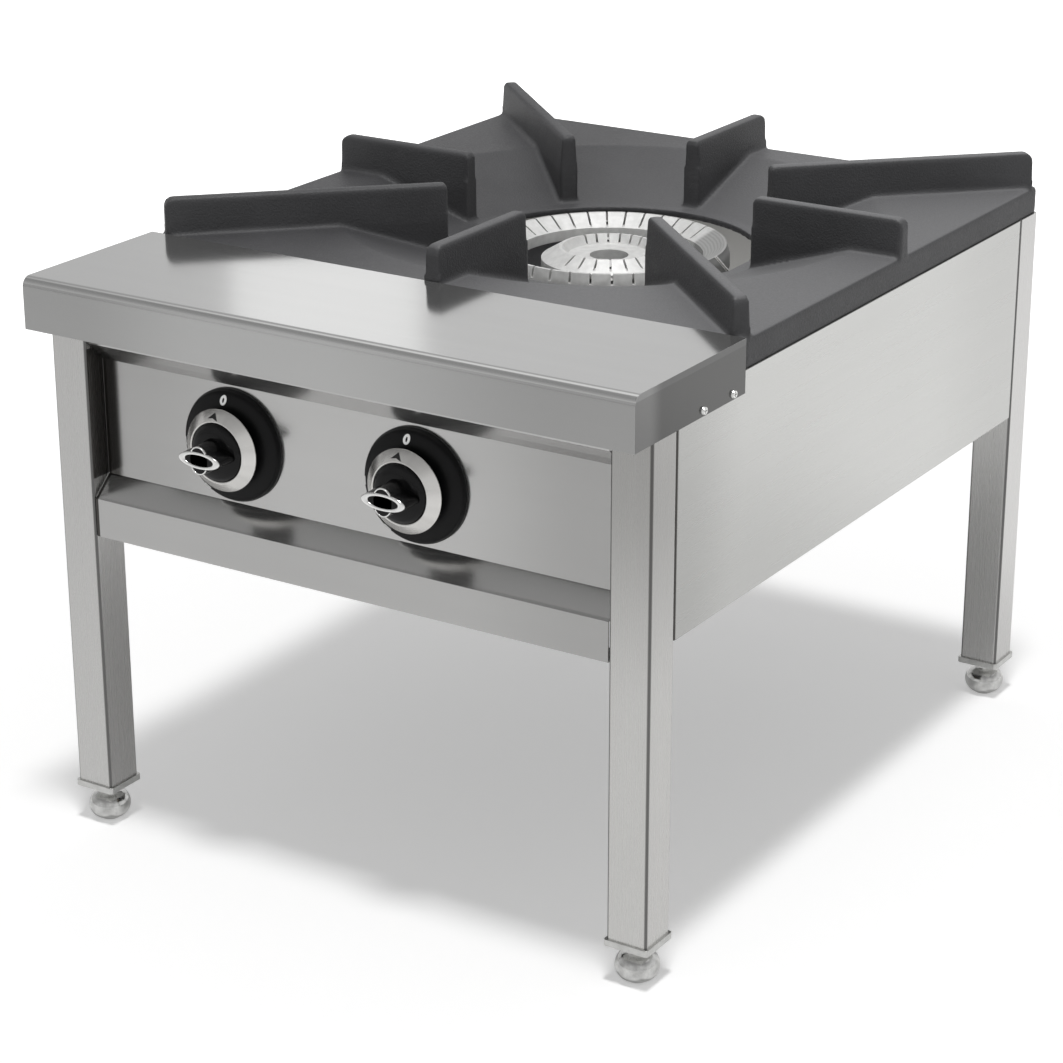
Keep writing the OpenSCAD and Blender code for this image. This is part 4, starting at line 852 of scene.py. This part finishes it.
for side in ("left", "right"):
    ring = turned("silver_ring_" + side, cone_outline, ring_satin, on_face(side), 128)
    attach(ring, "knob_" + side)
    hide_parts("knob_ring_" + side)
    arrow = printed("pointer_" + side, pointer(), cone_height, print_black, on_face(side))
    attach(arrow, "knob_" + side)

# Knob bodies. A glossy black hub with a bar grip and an oval boss, moulded in one, that fills the
# silver ring. The grip and the boss draw in a little towards their ends, as the mould needs.
knob_plastic = moulded_plastic("knob_plastic", (0.006, 0.006, 0.0065), 0.2, grain=0.1, shine=0.22)
hub_outline = rounded([
    (0.0042, knob_back), (0.0334, knob_back), (0.0334, knob_back + 0.001), (0.0256, shoulder - 0.0009),
    (0.0250, shoulder + 0.0006), (0.0225, shoulder + 0.0024), (0.018, shoulder + 0.0036),
    (0.012, shoulder + 0.0042), (0.0042, shoulder + 0.0044), (0.0042, knob_back),
], 0.001, 4)


def oval_loft(name, half_w, half_h, levels, material, place):
    """An oval bar: rings of one shape, each scaled at its own height, closed at both ends."""
    form = bmesh.new()
    rings = []
    count = 72
    for height, scale, shrink in levels:
        ring = []
        for k in range(count):
            turn = 2 * math.pi * k / count
            x = (half_w * scale - shrink) * math.cos(turn)
            y = (half_h * scale - shrink) * math.sin(turn)
            ring.append(form.verts.new((x, y, height)))
        rings.append(ring)
    for lower, upper in zip(rings, rings[1:]):
        for k in range(count):
            form.faces.new((lower[k], lower[(k + 1) % count], upper[(k + 1) % count], upper[k]))
    form.faces.new(rings[0][::-1])
    form.faces.new(rings[-1])
    for face in form.faces:
        face.smooth = len(face.verts) == 4
    return finished(name, form, material, place)


grip_half = (0.0214, 0.0074)
boss_half = (0.010, 0.0125)
grip_end = 0.049
end_levels = [(grip_end - 0.0016, 1.0, 0), (grip_end - 0.0008, 1.0, 0.0001), (grip_end - 0.0002, 1.0, 0.0005),
              (grip_end, 1.0, 0.001)]
grip_levels = [(shoulder + 0.0008, 1.04, 0), (shoulder + 0.006, 1.03, 0)] + end_levels
boss_levels = [(shoulder + 0.001, 1.3, 0), (shoulder + 0.003, 1.16, 0),
               (shoulder + 0.006, 1.1, 0)] + end_levels
for side in ("left", "right"):
    hub = turned("knob_hub_" + side, hub_outline, knob_plastic, on_face(side), 128)
    grip = oval_loft("knob_grip_" + side, *grip_half, grip_levels, knob_plastic, on_face(side))
    boss = oval_loft("knob_boss_" + side, *boss_half, boss_levels, knob_plastic, on_face(side))
    for piece in (hub, grip, boss):
        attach(piece, "knob_" + side)
    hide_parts("knob_body_" + side)

# Knob trims. A bright plated rim round the end of each grip and a thinner one round its boss, both
# moulded with a chrome skin and pressed on.
trim_chrome = plated_metal("trim_chrome", (0.86, 0.86, 0.85), 0.16, mottle=0.04, mottle_size=200, dents=0.05)


def oval_rim(name, outer, inner, low, high, material, place, gap=None):
    """A raised rim between two ovals, crowned across its width. gap leaves out what another oval covers."""
    form = bmesh.new()
    out_w, out_h = outer
    in_w, in_h = inner
    count = 96
    across = 7
    rings = []
    for k in range(count):
        turn = 2 * math.pi * k / count
        c = math.cos(turn)
        s = math.sin(turn)
        ring = [form.verts.new((out_w * c, out_h * s, low))]
        for m in range(across + 1):
            share = m / across
            crown = high - (high - low) * 0.45 * (2 * share - 1) ** 4
            w = out_w + (in_w - out_w) * share
            h = out_h + (in_h - out_h) * share
            ring.append(form.verts.new((w * c, h * s, crown)))
        ring.append(form.verts.new((in_w * c, in_h * s, low)))
        rings.append(ring)
    width = len(rings[0])

    def covered(ring):
        x, y, _ = ring[width // 2].co
        return gap and (x / gap[0]) ** 2 + (y / gap[1]) ** 2 < 1

    for k in range(count):
        here = rings[k]
        there = rings[(k + 1) % count]
        if covered(here) or covered(there):
            continue
        for m in range(width):
            form.faces.new((here[m], there[m], there[(m + 1) % width], here[(m + 1) % width]))
    loose = [v for v in form.verts if not v.link_faces]
    bmesh.ops.delete(form, geom=loose, context="VERTS")
    ends = [e for e in form.edges if len(e.link_faces) == 1]
    if ends:
        bmesh.ops.holes_fill(form, edges=ends)
    bmesh.ops.recalc_face_normals(form, faces=form.faces)
    for face in form.faces:
        face.smooth = True
    return finished(name, form, material, place)


rim_foot = grip_end - 0.0014
for side in ("left", "right"):
    rim = oval_rim("grip_rim_" + side, grip_half, (0.0146, 0.0047), rim_foot, grip_end + 0.001,
                   trim_chrome, on_face(side))
    line = oval_rim("boss_rim_" + side, boss_half, (0.0086, 0.0111), rim_foot, grip_end + 0.0008,
                    trim_chrome, on_face(side), gap=grip_half)
    for piece in (rim, line):
        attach(piece, "knob_" + side)
    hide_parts("knob_trim_" + side)
